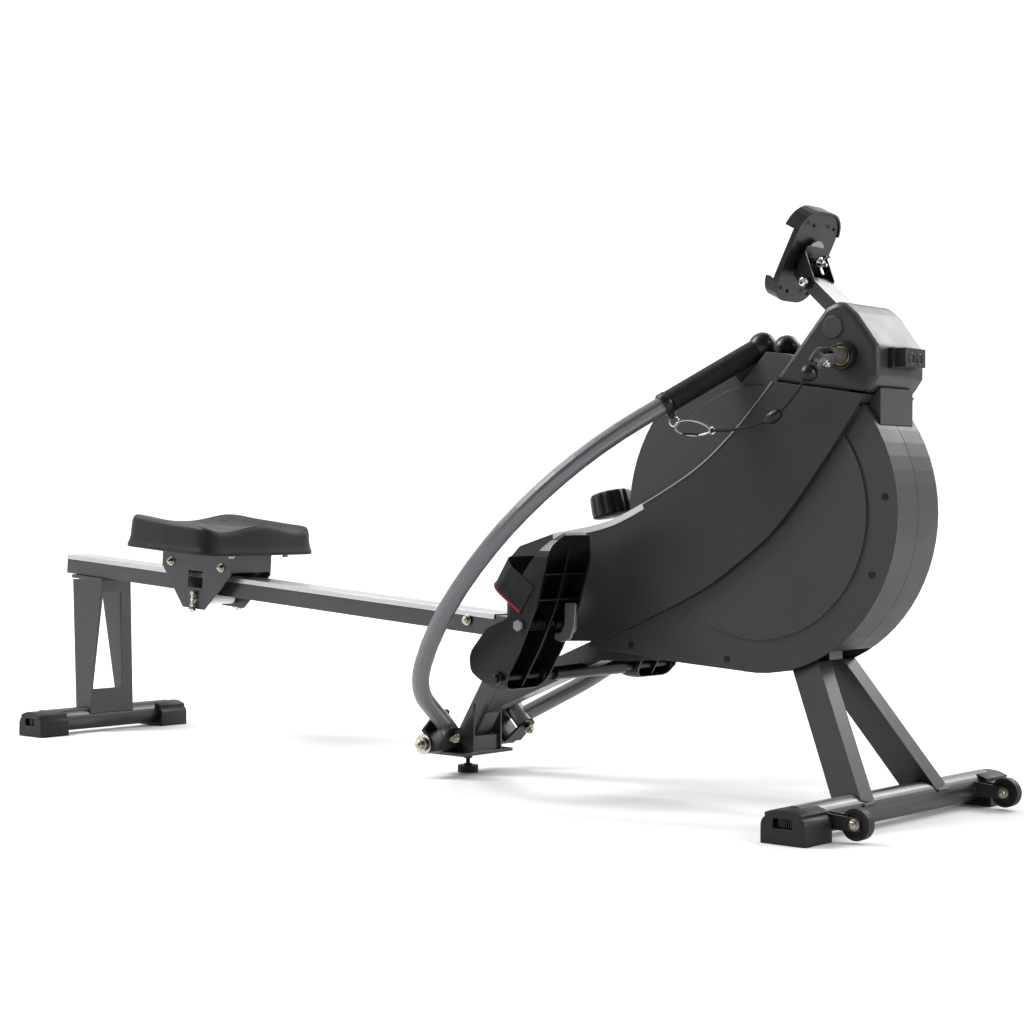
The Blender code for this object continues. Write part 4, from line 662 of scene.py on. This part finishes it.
def make_grip(label, side):
    """A ribbed foam sleeve with a collar and a ball. Returns where the snap hook meets the collar's ring."""
    end, along = arm_line(side)
    body = f"arm_{label}"
    pitch = (GRIP_LENGTH - 0.012) / GRIP_RIBS
    groove, crest = GRIP_RADIUS - 0.0009, GRIP_RADIUS - 0.0001
    profile = [(0.0, GRIP_RADIUS - 0.0032), (0.0002, GRIP_RADIUS - 0.0006)]
    for k in range(GRIP_RIBS):
        low = 0.001 + pitch * k
        profile += [(low, groove), (low + pitch * 0.25, crest), (low + pitch * 0.65, crest)]
        profile.append((low + pitch * 0.92, groove))
    profile += [(GRIP_LENGTH - 0.010, GRIP_RADIUS - 0.001), (GRIP_LENGTH - 0.008, GRIP_RADIUS - 0.004)]
    sleeve = along_axis(end - along * (GRIP_LENGTH - 0.006), along)
    grip = single(f"grip_foam_{label}", "grip_foam", body, "foam", add_turned, sleeve, profile, 40,
                  replaces=(f"hand_grip_{label}",))
    profile = [(-0.0225, BALL_RADIUS * 0.62)]
    for k in range(13):
        angle = radians(-62 + 152 * k / 12)
        profile.append((BALL_RADIUS * sin(angle), max(0.0006, BALL_RADIUS * cos(angle))))
    ball = along_axis(end + along * 0.013, along)
    single(f"grip_ball_{label}", "black_plastic", body, "black_plastic", add_turned, ball, profile, 40)
    collar = along_axis(end - along * (GRIP_LENGTH + 0.010), along)
    bore, rim, outside = [ARM_RADIUS + wall for wall in (0.0002, 0.0030, 0.0042)]
    profile = [(0.0, bore), (0.0, rim), (0.002, outside), (0.013, outside), (0.0150, rim), (0.0150, bore)]
    single(f"grip_collar_{label}", "black_plastic", body, "black_plastic", add_ring, collar, profile,
           bevel=0.0004)
    down = Vector((0, 0, -1))
    down = (down - along * down.dot(along)).normalized()
    lug = along_axis(collar.origin + along * 0.007 + down * (ARM_RADIUS + 0.003), down)
    profile = [(0.0, 0.0060), (0.006, 0.0052), (0.0085, 0.0036)]
    single(f"grip_lug_{label}", "black_plastic", body, "black_plastic", add_turned, lug, profile, 20,
           bevel=0.0004)
    centre = lug.point(0, 0, 0.0150)
    ring = circle(centre, down, along, RING_RADIUS, 28)
    single(f"clip_ring_{label}", "steel", body, "steel", add_tube, ring, 0.0014, 10, closed=True)
    return centre + down * RING_RADIUS


def cord_route(side):
    """The cord from the stopper under the swivel to the snap hook that waits under the grip."""
    start = swivel_frame(side).point(0.037 + STOPPER_RADIUS + GAP, 0, CORD_EXIT_Y)
    rest = [(0.9180, 0.1445, 0.6815), (0.9020, 0.1470, 0.6640), (0.8800, 0.1490, 0.6480),
            (0.8520, 0.1510, 0.6375), (0.8200, 0.1530, 0.6310), (0.7920, 0.1550, 0.6285),
            (0.7660, 0.1570, 0.6290)]
    return [start] + [Vector((x, side * y, z)) for x, y, z in rest]


def make_cord(label, side):
    """The cord, the cleat on it and the points that the cord follows."""
    route = [Vector(p) for p in curve_through(cord_route(side), 8)]
    line = single(f"handle_cord_{label}", "cord", "frame", "cord", add_tube, route, CORD_RADIUS, 14,
                  replaces=(f"pull_cord_{label}",))
    i = len(route) * 3 // 7
    place = along_axis(route[i], route[i + 1] - route[i - 1])
    profile = [(-0.016, 0.0036), (-0.014, 0.0072), (-0.006, 0.0102), (0.005, 0.0102), (0.012, 0.0066),
               (0.0155, 0.0036)]
    cleat = single(f"cord_knot_{label}", "black_plastic", "frame", "black_plastic", add_turned, place,
                   profile, 24, bevel=0.0005)
    return line, cleat, route


def make_snap_hook(label, side, start, ring_point):
    """A wire snap hook: a long oval loop with its gate, and a small eye that the cord is tied to."""
    axis = ring_point - start
    reach = axis.length
    along = axis.normalized()
    across = Vector((0, side, 0)).cross(along).normalized()
    loop = []
    for k in range(44):
        t = 2 * pi * k / 44
        share = 0.54 - 0.50 * cos(t)
        half_width = 0.0095 + 0.0045 * share
        loop.append(start + along * (reach * share) + across * (half_width * sin(t)))
    hook = single(f"snap_hook_{label}", "steel", "frame", "steel", add_tube, loop, 0.0020, 12, closed=True)
    gate = []
    for share in (0.34, 0.5, 0.66, 0.80):
        half_width = 0.0095 + 0.0045 * share
        gate.append(start + along * (reach * share) + across * (half_width * 0.86))
    single(f"snap_gate_{label}", "dark_steel", "frame", "steel", add_tube, gate, 0.0026, 12, bevel=0.0004)
    eye = circle(start - along * 0.002, along, across, 0.0052, 24)
    single(f"snap_eye_{label}", "steel", "frame", "steel", add_tube, eye, 0.0017, 10, closed=True)
    return hook


def make_handles():
    for label, side in SIDES.items():
        ring_point = make_grip(label, side)
        line, cleat, route = make_cord(label, side)
        hook = make_snap_hook(label, side, route[-1], ring_point)


# ---- swivels and bushings


def make_swivel(label, side):
    """The pulley bolt, the bearing rings in the head's side and the stopper ball on the cord."""
    place = swivel_frame(side)
    body = f"swivel_{label}"
    nut = Frame(place.point(0.011, 0.0107, 0.131), place.u, place.w, place.v)
    hex_bolt(f"swivel_bolt_{label}", nut, 0.010, body, "steel", tip=0.002)
    head = Frame(place.point(0.011, -0.0107, 0.131), place.u, place.w, -place.v)
    socket_bolt(f"swivel_bolt_head_{label}", head, 0.0062, body, "steel")
    profile = [(0.0830, 0.0160), (0.0850, 0.0160), (0.0862, 0.0172), (0.0862, 0.0200), (0.0850, 0.0212),
               (0.0830, 0.0212)]
    single(f"bearing_ring_{label}", "gloss_black", "frame", "black_plastic", add_ring, place, profile, 56)
    profile = [(0.0830, 0.0127), (0.0846, 0.0127), (0.0852, 0.0134), (0.0852, 0.0150), (0.0846, 0.0157),
               (0.0830, 0.0157)]
    single(f"bearing_brass_{label}", "brass", "frame", "steel", add_ring, place, profile, 56)
    stopper = place.point(0.037, 0, CORD_EXIT_Y)
    single(f"cord_stopper_{label}", "black_plastic", "frame", "black_plastic", add_ball, stopper,
           STOPPER_RADIUS, 18)


# ---- machine body


def band_upper():
    """The upper edge of the sweeping band, from its rear tip to the head."""
    points = [(0.364, 0.456), (0.471, 0.474), (0.546, 0.501), (0.670, 0.565), (0.745, 0.623), (0.803, 0.681),
              (0.830, 0.7105)]
    return [Vector(p) for p in curve_through(points, 6)]


def make_edge_strip(name, side, points, wide, look):
    """A bevel laid along part of the band's upper edge, in a pale colour that paints its highlight."""
    y = side * (BAND_HALF - 0.0004)
    bm = bmesh.new()
    rows = []
    for i, point in enumerate(points):
        step = (points[min(i + 1, len(points) - 1)] - points[max(i - 1, 0)]).normalized()
        low = point + Vector((step.y, -step.x)) * wide
        corners = ((point, -0.0050, 0.0009), (point, 0.0004, 0.0009), (low, 0.0016, 0), (low, -0.0006, 0))
        rows.append([bm.verts.new((p.x, y + side * out, p.y + lift)) for p, out, lift in corners])
    loft(bm, rows)
    piece(name, bm, look, "frame")


def make_body():
    """The band's lit edge as a painted highlight, the shell's screws in painted shade, the plug in the head's
    side and the holes of the bumper.
    """
    upper = band_upper()
    rear = [p for p in upper if p.x < 0.575]
    front = [p for p in upper if p.x >= rear[-1].x]
    plug = [(-0.001, 0.0185), (0.0012, 0.0185), (0.0020, 0.0176), (0.0020, 0.006)]
    for label, side in SIDES.items():
        # Painted highlight along the band's upper edge: a wide pale strip at the rear and a thin grey line in
        # front.
        make_edge_strip(f"band_bevel_painted_highlight_{label}", side, rear, 0.0100, "pale_mark_and_painted_highlight")
        make_edge_strip(f"band_line_painted_highlight_{label}", side, front, 0.0026, "painted_edge_highlight")
        for k, (x, z) in enumerate(((1.035, 0.521), (1.012, 0.397), (0.733, 0.250), (0.530, 0.264))):
            recessed_screw(f"cover_screw_{label}_{k}", outward(side, x, z, SHELL_HALF), 0.0062, "frame")
        place = outward(side, 0.9448, 0.7935, HEAD_HALF)
        single(f"head_plug_{label}", "neck_plastic", "frame", "cover_plastic", add_turned, place, plug, 48,
               bevel=0.0003)
    bm = bmesh.new()
    rim = [(-0.004, 0.0085), (0.0004, 0.0085), (0.0008, 0.0078), (0.0004, 0.0068), (-0.004, 0.0066)]
    for y in (-0.0125, 0.0125):
        add_ring(bm, Frame((1.0524, y, 0.7415), (0, 1, 0), (0, 0, 1), (1, 0, 0)), rim, 32)
    piece("bumper_holes", bm, "gloss_black", "frame")


# ---- knob


def make_knob():
    """The knob's scalloped grip, its dished top and the pointer on it."""

    def scallop(angle):
        return 1.0 - 0.055 * (0.5 - 0.5 * cos(12 * angle)) ** 2

    place = knob_frame()
    bm = bmesh.new()
    rim = [(-0.019, 0.0370), (-0.0185, 0.0385), (-0.010, 0.0392), (0.016, 0.0380), (0.0205, 0.0362),
           (0.0225, 0.0325)]
    add_turned(bm, place, rim, 144, scallop)
    dish = [(0.0220, 0.0315), (0.0228, 0.0300), (0.0215, 0.0270), (0.0212, 0.012), (0.0212, 0.001)]
    add_turned(bm, place, dish, 72)
    piece("knob_grip", bm, "black_plastic", "knob", replaces=("tension_knob",))
    pointer = round_box(0.0022, 0.009, 0.0010, 3)
    single("knob_pointer", "pale_mark_and_painted_highlight", "knob", "black_plastic", add_slab, place.at(0, 0.020, 0.0205),
           pointer, 0.0, 0.0018, bevel=0.0003)


# ---- footplates and straps

STRAP_BASE = (0.4440, 0.3480)
STRAP_OUT = (-0.822, 0.569)
STRAP_ALONG = (0.569, 0.822)
STRAP_RISE = 0.086
STRAP_HALF_WIDTH = 0.027
STRAP_HALF_THICKNESS = 0.0009
STRAP_COLUMNS = 9


def strap_path(side):
    """The strap's middle line: up from the outer wall, over the foot and down to the inner wall."""
    low, high, bend = FOOT_INNER - 0.0010, FOOT_OUTER + 0.0010, 0.034
    path = [(high, -0.004), (high, 0.022)]
    path += arc((high - bend, STRAP_RISE - bend), bend, 0, 90, 9)
    path += arc((low + bend, STRAP_RISE - bend), bend, 90, 180, 9)
    path += [(low, 0.022), (low, -0.004)]
    return [Vector(p) for p in curve_through([(side * y, out) for y, out in path], 2)]


def strap_point(across, along):
    """across holds the point's y and its height off the footplate, and along runs to the toe."""
    x = STRAP_BASE[0] + STRAP_OUT[0] * across.y + STRAP_ALONG[0] * along
    z = STRAP_BASE[1] + STRAP_OUT[1] * across.y + STRAP_ALONG[1] * along
    return Vector((x, across.x, z))


def make_strap(label, side):
    """A hook-and-loop strap of webbing, with a red binding on its lower edge."""
    path = strap_path(side)
    bm = bmesh.new()
    rows = []
    for i, p in enumerate(path):
        step = (path[min(i + 1, len(path) - 1)] - path[max(i - 1, 0)]).normalized()
        normal = Vector((step.y, -step.x))
        upper, lower = [], []
        for k in range(STRAP_COLUMNS):
            along = STRAP_HALF_WIDTH * (2 * k / (STRAP_COLUMNS - 1) - 1)
            lift = 0.0006 * sin(3.1 * k / STRAP_COLUMNS + i * 0.55) + 0.00036 * sin(i * 0.9)
            upper.append(bm.verts.new(strap_point(p + normal * (lift + STRAP_HALF_THICKNESS), along)))
            lower.append(bm.verts.new(strap_point(p + normal * (lift - STRAP_HALF_THICKNESS), along)))
        rows.append(upper + lower[::-1])
    loft(bm, rows)
    body = f"footplate_{label}"
    strap = piece(f"strap_{label}", bm, "webbing", body, replaces=(f"foot_strap_{label}",))
    edge = [strap_point(p, -STRAP_HALF_WIDTH) for p in path]
    binding = single(f"strap_binding_{label}", "red_trim", body, "webbing", add_tube, edge, 0.0021, 10)


def make_footplate_parts(label, side):
    """The lock's shaft with its spring and end nut, the release lever and the nut of the footrest axle."""
    lever = f"lever_{label}"
    x, z = LOCK_SHAFT
    turns, steps, low, high, radius = 9, 14, 0.168, 0.235, 0.0098
    coil = []
    for k in range(turns * steps + 1):
        y = low + (high - low) * k / (turns * steps)
        angle = 2 * pi * k / steps
        coil.append((x + radius * cos(angle), side * y, z + radius * sin(angle)))
    single(f"lock_spring_{label}", "black_plastic", lever, "steel", add_tube, coil, 0.0013, 8)
    bm = bmesh.new()
    shaft = outward(side, x, z)
    add_turned(bm, shaft, [(0.1305, 0.0052), (0.243, 0.0052)], 24)
    for k in range(9):
        low, radius = 0.140 + 0.0016 * k, 0.0090 + 0.0004 * (k % 2)
        add_turned(bm, shaft, [(low, radius), (low + 0.0016, radius)], 10)
    piece(f"lock_shaft_{label}", bm, "dark_steel", lever, bevel=0.0003)
    hex_bolt(f"lock_end_{label}", outward(side, x, z, FOOT_OUTER + 0.0002), 0.010, lever, "black_plastic")
    hook = [(0.4530, 0.3380, 0.003), (0.4767, 0.3383, 0.004), (0.4746, 0.3000, 0.01), (0.4650, 0.2750, 0.01),
            (0.4460, 0.2690, 0.008), (0.4290, 0.2735, 0.004), (0.4300, 0.2850, 0.003),
            (0.4430, 0.2850, 0.006), (0.4520, 0.3000, 0.01)]
    single(f"release_lever_{label}", "plate_grey", lever, "steel", add_slab, outward(side, 0, 0),
           rounded(hook, 4), 0.1470, 0.1520, bevel=0.0008)
    nut = outward(side, *FOOT_AXLE, FOOT_OUTER + 0.0060)
    hex_bolt(f"axle_nut_{label}", nut, 0.013, "frame", "dark_steel")


# ---- phone holder


def make_holder():
    """The screws in the back plate and the bolts through the tilt bracket."""
    place = holder_frame()
    rim = [(-0.002, 0.0032), (0.0002, 0.0032), (0.0005, 0.0028), (0.0002, 0.0022), (-0.002, 0.0020)]
    for k, (a, b) in enumerate(((-0.030, 0.058), (0.030, 0.058), (-0.030, -0.058), (0.030, -0.058))):
        single(f"holder_screw_{k}", "gloss_black", "holder_plate", "black_plastic", add_ring,
               place.at(a, b, 0.0078), rim, 20)
    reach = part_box("tilt_bracket")[1].y
    for label, side in SIDES.items():
        bolt = outward(side, *HOLDER_PIVOT, reach + 0.0002)
        socket_bolt(f"holder_bolt_{label}", bolt, 0.0080, "tilt_bracket", "steel")


def make_wing_nut():
    """The round plate on the holder's back and the wing nut that clamps it."""
    profile = [(0.0070, 0.0245), (0.0092, 0.0245), (0.0098, 0.0238), (0.0098, 0.010)]
    single("holder_round_plate", "plate_grey", "holder_plate", "black_plastic", add_turned,
           holder_frame().at(0, 0.010, 0), profile, 48, bevel=0.0003)
    place = holder_frame().at(0, 0.004, 0.0225)
    bm = bmesh.new()
    hub = [(0.0, 0.0085), (0.002, 0.0085), (0.004, 0.0066), (0.011, 0.0052), (0.012, 0.0040)]
    add_turned(bm, place, hub, 28)
    for sign in (-1, 1):
        wing = [(0.004, 0.006), (0.009, 0.009), (0.014, 0.014), (0.016, 0.018)]
        points = [place.point(0, sign * out, height) for out, height in wing]
        add_tube(bm, points, 0.0, 14, radii=[0.0036, 0.0042, 0.0050, 0.0030], squash=0.42)
    add_turned(bm, place, [(0.011, 0.0030), (0.017, 0.0030), (0.0178, 0.0022)], 18)
    piece("wing_nut", bm, "steel", "holder_plate", bevel=0.0003)


# ---- feet, wheels and welds


CAP_WINDOW_DEPTH = 0.0136


def make_cap_dial(name, x, side, half_length):
    """The ribbed level dial behind the cap's window."""
    dial = outward(side, x, 0.0315, half_length - CAP_WINDOW_DEPTH)
    bm = bmesh.new()
    for k in range(9):
        a = -0.0142 + 0.00355 * k
        rib = [(a - 0.0011, -0.0068), (a + 0.0011, -0.0068), (a + 0.0011, 0.0068), (a - 0.0011, 0.0068)]
        add_slab(bm, dial, rib, 0.0, 0.0085 - 0.0032 * abs(k - 4) / 4)
    plate = [(-0.0160, -0.0070), (0.0160, -0.0070), (0.0160, 0.0070), (-0.0160, 0.0070)]
    add_slab(bm, dial, plate, -0.0002, 0.0042)
    piece(name, bm, "gloss_black", "frame", bevel=0.0003)


def make_caps():
    """Moulded end caps with an arched top and a window for the level dial."""
    arch = [(-0.0405, 0.0), (0.0405, 0.0), (0.0405, 0.027)]
    arch += arc((0.0245, 0.027), 0.016, 8, 62, 6)
    arch += arc((0.0, -0.0235), 0.0775, 64.5, 115.5, 14)
    arch += arc((-0.0245, 0.027), 0.016, 118, 172, 6) + [(-0.0405, 0.027)]
    slim = [(a * 0.965, 0.0006 + b * 0.972) for a, b in arch]
    window = [(-0.0170, 0.0240), (0.0170, 0.0240), (0.0170, 0.0390), (-0.0170, 0.0390)]
    for end, x, half in ENDS:
        for label, side in SIDES.items():
            place = outward(side, x, 0, half)
            bm = bmesh.new()
            walls = []
            for points, depth in ((slim, -0.075), (arch, -0.0735), (arch, -0.0022), (slim, 0.0)):
                walls.append([bm.verts.new(place.point(a, b, depth)) for a, b in points])
            loft(bm, walls, last=False)
            recess = []
            for depth in (0.0, -CAP_WINDOW_DEPTH):
                recess.append([bm.verts.new(place.point(a, b, depth)) for a, b in window])
            loft(bm, recess, first=False)
            face = ring_edges(bm, walls[-1]) + ring_edges(bm, recess[0])
            bmesh.ops.triangle_fill(bm, edges=face, use_beauty=True)
            piece(f"moulded_cap_{end}_{label}", bm, "cap_plastic", "frame", bevel=0.0008,
                  replaces=(f"end_cap_{end}_{label}",))


def make_feet():
    """The dials in the end caps, and the rings and bolts of the transport wheels."""
    for end, x, half in ENDS:
        for label, side in SIDES.items():
            make_cap_dial(f"cap_dial_{end}_{label}", x, side, half)
    x, z = TRANSPORT_WHEEL
    tread = [(0.0060, 0.0155), (0.0064, 0.0155), (0.0072, 0.0163), (0.0072, 0.0172), (0.0064, 0.0180),
             (0.0060, 0.0180)]
    for label, side in SIDES.items():
        hub = outward(side, x, z, TRANSPORT_WHEEL_Y)
        bm = bmesh.new()
        for face in (hub.flipped(), hub):
            add_ring(bm, face, tread, 40)
            add_turned(bm, face, [(0.0060, 0.0075), (0.0078, 0.0070)], 24)
        piece(f"wheel_rings_{label}", bm, "gloss_black", f"transport_wheel_{label}")
        hex_bolt(f"wheel_bolt_{label}", outward(side, x, z, 0.2456), 0.0115, "frame", tip=0.003)
        hex_bolt(f"wheel_nut_{label}", outward(side, x, z, 0.2224).flipped(), 0.0115, "frame", tip=0.002)


WELD_RADIUS = 0.0028


def weld_bead(name, start, end):
    """A rippled bead of weld from start to end."""
    start, end = Vector(start), Vector(end)
    steps = int((end - start).length / 0.0022)
    points = [start.lerp(end, k / steps) for k in range(steps + 1)]
    radii = [WELD_RADIUS * (0.86 + 0.20 * (k % 2)) for k in range(steps + 1)]
    radii[0] = radii[-1] = WELD_RADIUS * 0.5
    single(name, "weld", "frame", "frame_paint", add_tube, points, WELD_RADIUS, 8, radii=radii)


def make_welds():
    """Beads where the front legs meet the stabilizer."""
    z = STABILIZER_Z + 0.01056
    for label, side in SIDES.items():
        for k, dx in enumerate((-0.0243, 0.0243)):
            low, high = [(FRONT_X + dx, side * 0.115 + dy, z) for dy in (-0.017, 0.017)]
            weld_bead(f"leg_weld_{label}_{k}", low, high)


# ---- bolts along the frame


def make_bolts():
    """The bolts at the rail's front end and the nuts of the arms' axle."""
    for label, side in SIDES.items():
        hex_bolt(f"rail_bolt_{label}", outward(side, 0.1164, 0.2908, 0.0335), 0.013, "frame", tip=0.002)
        hex_bolt(f"pivot_nut_{label}", outward(side, *PIVOT_AXLE, 0.1290), 0.016, "frame", tip=0.004)


def make_seat_bolts():
    """Four hexagon heads under the corners of the seat, over the carriage."""
    rail = rail_frame(SEAT_X)
    bm = bmesh.new()
    for a in (-0.122, 0.122):
        for b in (-0.075, 0.075):
            down = rail.at(a, CARRIAGE_TOP + 0.0022, b)
            down = Frame(down.origin, rail.u, rail.w, -rail.v)
            add_washer(bm, down, 0.0085, 0.0016)
            add_hex(bm, down, 0.011, 0.0065, 0.0016)
    piece("seat_bolts", bm, "zinc", "seat", bevel=0.0002)


def make_yoke_bolts():
    """A nut on each end of the pins that let the arms spread."""
    for label, side in SIDES.items():
        place = arm_frame(side)
        reaches = []
        for vertex in frame["nodes"][f"arm_yoke_{label}"].data.vertices:
            offset = vertex.co - place.origin
            height = offset.dot(place.w)
            if (offset - place.w * height).length < 0.012:
                reaches.append(height)
        top = place.at(0, 0, max(reaches) + 0.0002)
        bottom = place.at(0, 0, min(reaches) - 0.0002).flipped()
        hex_bolt(f"yoke_bolt_{label}", top, 0.0135, f"yoke_{label}", tip=0.003)
        hex_bolt(f"yoke_nut_{label}", bottom, 0.0135, f"yoke_{label}", tip=0.004)


def make_strap_slots():
    """The dark slot in each footplate's outer wall, behind the strap: a thin slab of near-black painted shade
    on the wall.
    """
    low, high = Vector((0.4260, 0.3245)), Vector((0.4546, 0.3705))
    across = (high - low).orthogonal().normalized() * 0.0032
    corners = [low - across, high - across, high + across, low + across]
    for label, side in SIDES.items():
        single(f"strap_slot_{label}", "painted_hole_shade", f"footplate_{label}", "black_plastic", add_slab,
               outward(side, 0, 0), corners, FOOT_OUTER - 0.001, FOOT_OUTER + 0.0005)


def make_back_ribs():
    """Two ribs across the open back of each footplate."""
    ribs = [
        [(0.4390, 0.3880), (0.4830, 0.3880), (0.4838, 0.3912), (0.4405, 0.3912)],
        [(0.4190, 0.3440), (0.4680, 0.3440), (0.4690, 0.3472), (0.4205, 0.3472)],
    ]
    for label, side in SIDES.items():
        bm = bmesh.new()
        for rib in ribs:
            add_slab(bm, outward(side, 0, 0), rib, FOOT_INNER + 0.003, FOOT_OUTER - 0.003)
        piece(f"back_ribs_{label}", bm, "gloss_black", f"footplate_{label}", bevel=0.0007)


def middle_of(node):
    low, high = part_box(node)
    return (low + high) / 2


def make_carriage_parts():
    """Axle nuts on both side plates, and the tension adjusters with their wing nuts."""
    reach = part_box("seat_carriage")[1].y
    rail = rail_frame(CARRIAGE_X)
    for label, side in SIDES.items():
        for roller, size in (("rear_roller", 0.0125), ("front_roller", 0.0125), ("under_roller", 0.0105)):
            x, _, z = middle_of(roller)
            hex_bolt(f"{roller}_nut_{label}", outward(side, x, z, reach), size, "seat", tip=0.003)
        foot = rail.point(0.002, -0.066, side * (reach + 0.0072))
        up = Frame(foot, rail.u, (0, side, 0), rail.v)
        bm = bmesh.new()
        add_turned(bm, up, [(-0.016, 0.0022), (-0.015, 0.0029), (0.026, 0.0029)], 16)
        add_turned(bm, up, [(0.022, 0.0056), (0.029, 0.0056)], 20)
        add_hex(bm, up, 0.0085, 0.0045, -0.002)
        add_turned(bm, up, [(-0.0085, 0.0052), (-0.0045, 0.0046)], 20)
        for sign in (-1, 1):
            ends = ((0.003, -0.006), (0.007, -0.0085), (0.011, -0.0115))
            wing = [up.point(sign * out, 0, drop) for out, drop in ends]
            add_tube(bm, wing, 0.0, 12, radii=[0.0028, 0.0036, 0.0026], squash=0.45)
        piece(f"carriage_adjuster_{label}", bm, "zinc", "seat", bevel=0.0002)


# ---- light, floor and camera


DARK_SIDE = radians(41)
BACKDROP_WHITE = 1.02
BACKDROP_DARK = 0.16

# The photograph's viewing point, solved from the machine's own symmetry and parallel lines.
CAMERA_PLACE = (2.7239, -2.9022, 0.5016)
CAMERA_AZIMUTH = radians(41.02)
CAMERA_ELEVATION = radians(0.108)
CAMERA_ROLL = radians(0.17)
LENS = 72.4
SENSOR = 36.0


def soft_light(name, place, target, size, power, size_y=None):
    """A rectangular lamp at place that faces target."""
    data = bpy.data.lights.new(name, "AREA")
    data.shape = "RECTANGLE"
    data.size = size
    data.size_y = size_y or size
    data.energy = power
    lamp = add_object(name, data)
    lamp.location = place
    lamp.rotation_euler = (Vector(target) - Vector(place)).to_track_quat("-Z", "Y").to_euler()


def make_floor():
    """A pale disc that glows more and more away from the machine, so that it meets the white backdrop."""
    nodes = Nodes("floor")
    mixed = nodes.colour(nodes.noise(0.4), (0.78, 0.78, 0.785), (0.80, 0.80, 0.80))
    nodes.gloss(nodes.noise(3.0), 0.55, 0.65)
    nodes.shader.inputs["Specular IOR Level"].default_value = 0.1
    nodes.relief(nodes.noise(60.0), 0.02, 0.001)
    nodes.link(mixed, nodes.shader.inputs["Emission Color"])
    away = nodes.add("ShaderNodeVectorMath", operation="LENGTH")
    nodes.link(nodes.place, away.inputs[0])
    glow = nodes.ramp(away.outputs["Value"], 0.02, 0.75, 0.8, 5.0, interpolation_type="SMOOTHSTEP")
    nodes.link(glow, nodes.shader.inputs["Emission Strength"])
    bm = bmesh.new()
    add_turned(bm, Frame((0, 0, 0), (1, 0, 0), (0, 1, 0), (0, 0, 1)), [(-0.01, 40.0), (-0.0002, 40.0)], 96)
    mesh_object("floor", bm, "floor")


def make_backdrop():
    """White at the horizon and behind the machine, darker above the horizon on the photographer's side."""
    world = bpy.data.worlds.new("studio")
    bpy.context.scene.world = world
    world.use_nodes = True
    nodes = Tree(world.node_tree, "Generated")
    background = world.node_tree.nodes["Background"]
    background.inputs["Color"].default_value = (1.0, 1.0, 1.0, 1.0)
    side = nodes.add("ShaderNodeVectorMath", operation="DOT_PRODUCT")
    side.inputs[1].default_value = (sin(DARK_SIDE), -cos(DARK_SIDE), 0.0)
    nodes.link(nodes.place, side.inputs[0])
    fall = nodes.ramp(side.outputs["Value"], BACKDROP_WHITE, BACKDROP_DARK, -0.45, 0.65)
    height = nodes.add("ShaderNodeSeparateXYZ")
    nodes.link(nodes.place, height.inputs[0])
    above = nodes.ramp(height.outputs["Z"], 0.0, 1.0, 0.01, 0.09)
    horizon = nodes.add("ShaderNodeMix", {"A": BACKDROP_WHITE})
    nodes.link(above, horizon.inputs["Factor"])
    nodes.link(fall, horizon.inputs["B"])
    nodes.link(horizon.outputs["Result"], background.inputs["Strength"])


def make_studio():
    make_backdrop()
    soft_light("key", (-2.2, -2.2, 3.6), (0.2, 0, 0.3), 1.3, 95)
    soft_light("back", (1.4, 3.2, 3.0), (0.2, 0, 0.4), 2.2, 80)
    soft_light("front", (4.4, 0.2, 2.0), (0.8, 0, 0.5), 0.9, 60, 1.8)
    soft_light("strip", (-1.6, -1.0, 3.2), (0.3, -0.1, 0.4), 0.35, 55, 2.6)
    view = bpy.context.scene.view_settings
    view.view_transform = "Standard"
    view.look = "Medium High Contrast"


def make_camera():
    level = cos(CAMERA_ELEVATION)
    back = Vector((sin(CAMERA_AZIMUTH) * level, -cos(CAMERA_AZIMUTH) * level, sin(CAMERA_ELEVATION)))
    right = Vector((0, 0, 1)).cross(back).normalized()
    up = back.cross(right)
    turned_right = right * cos(CAMERA_ROLL) + up * sin(CAMERA_ROLL)
    turned_up = up * cos(CAMERA_ROLL) - right * sin(CAMERA_ROLL)
    rotation = Matrix((turned_right, turned_up, back)).transposed()
    data = bpy.data.cameras.new("camera")
    data.lens = LENS
    data.sensor_width = SENSOR
    camera = add_object("camera", data)
    camera.matrix_world = Matrix.Translation(CAMERA_PLACE) @ rotation.to_4x4()
    bpy.context.scene.camera = camera


dress_cad_nodes()
make_seat()
make_handles()
for label, side in SIDES.items():
    make_swivel(label, side)
    make_strap(label, side)
    make_footplate_parts(label, side)
make_body()
make_knob()
make_holder()
make_wing_nut()
make_feet()
make_welds()
make_bolts()
make_carriage_parts()
make_seat_bolts()
make_yoke_bolts()
make_strap_slots()
make_back_ribs()
make_caps()
make_floor()
make_studio()
make_camera()
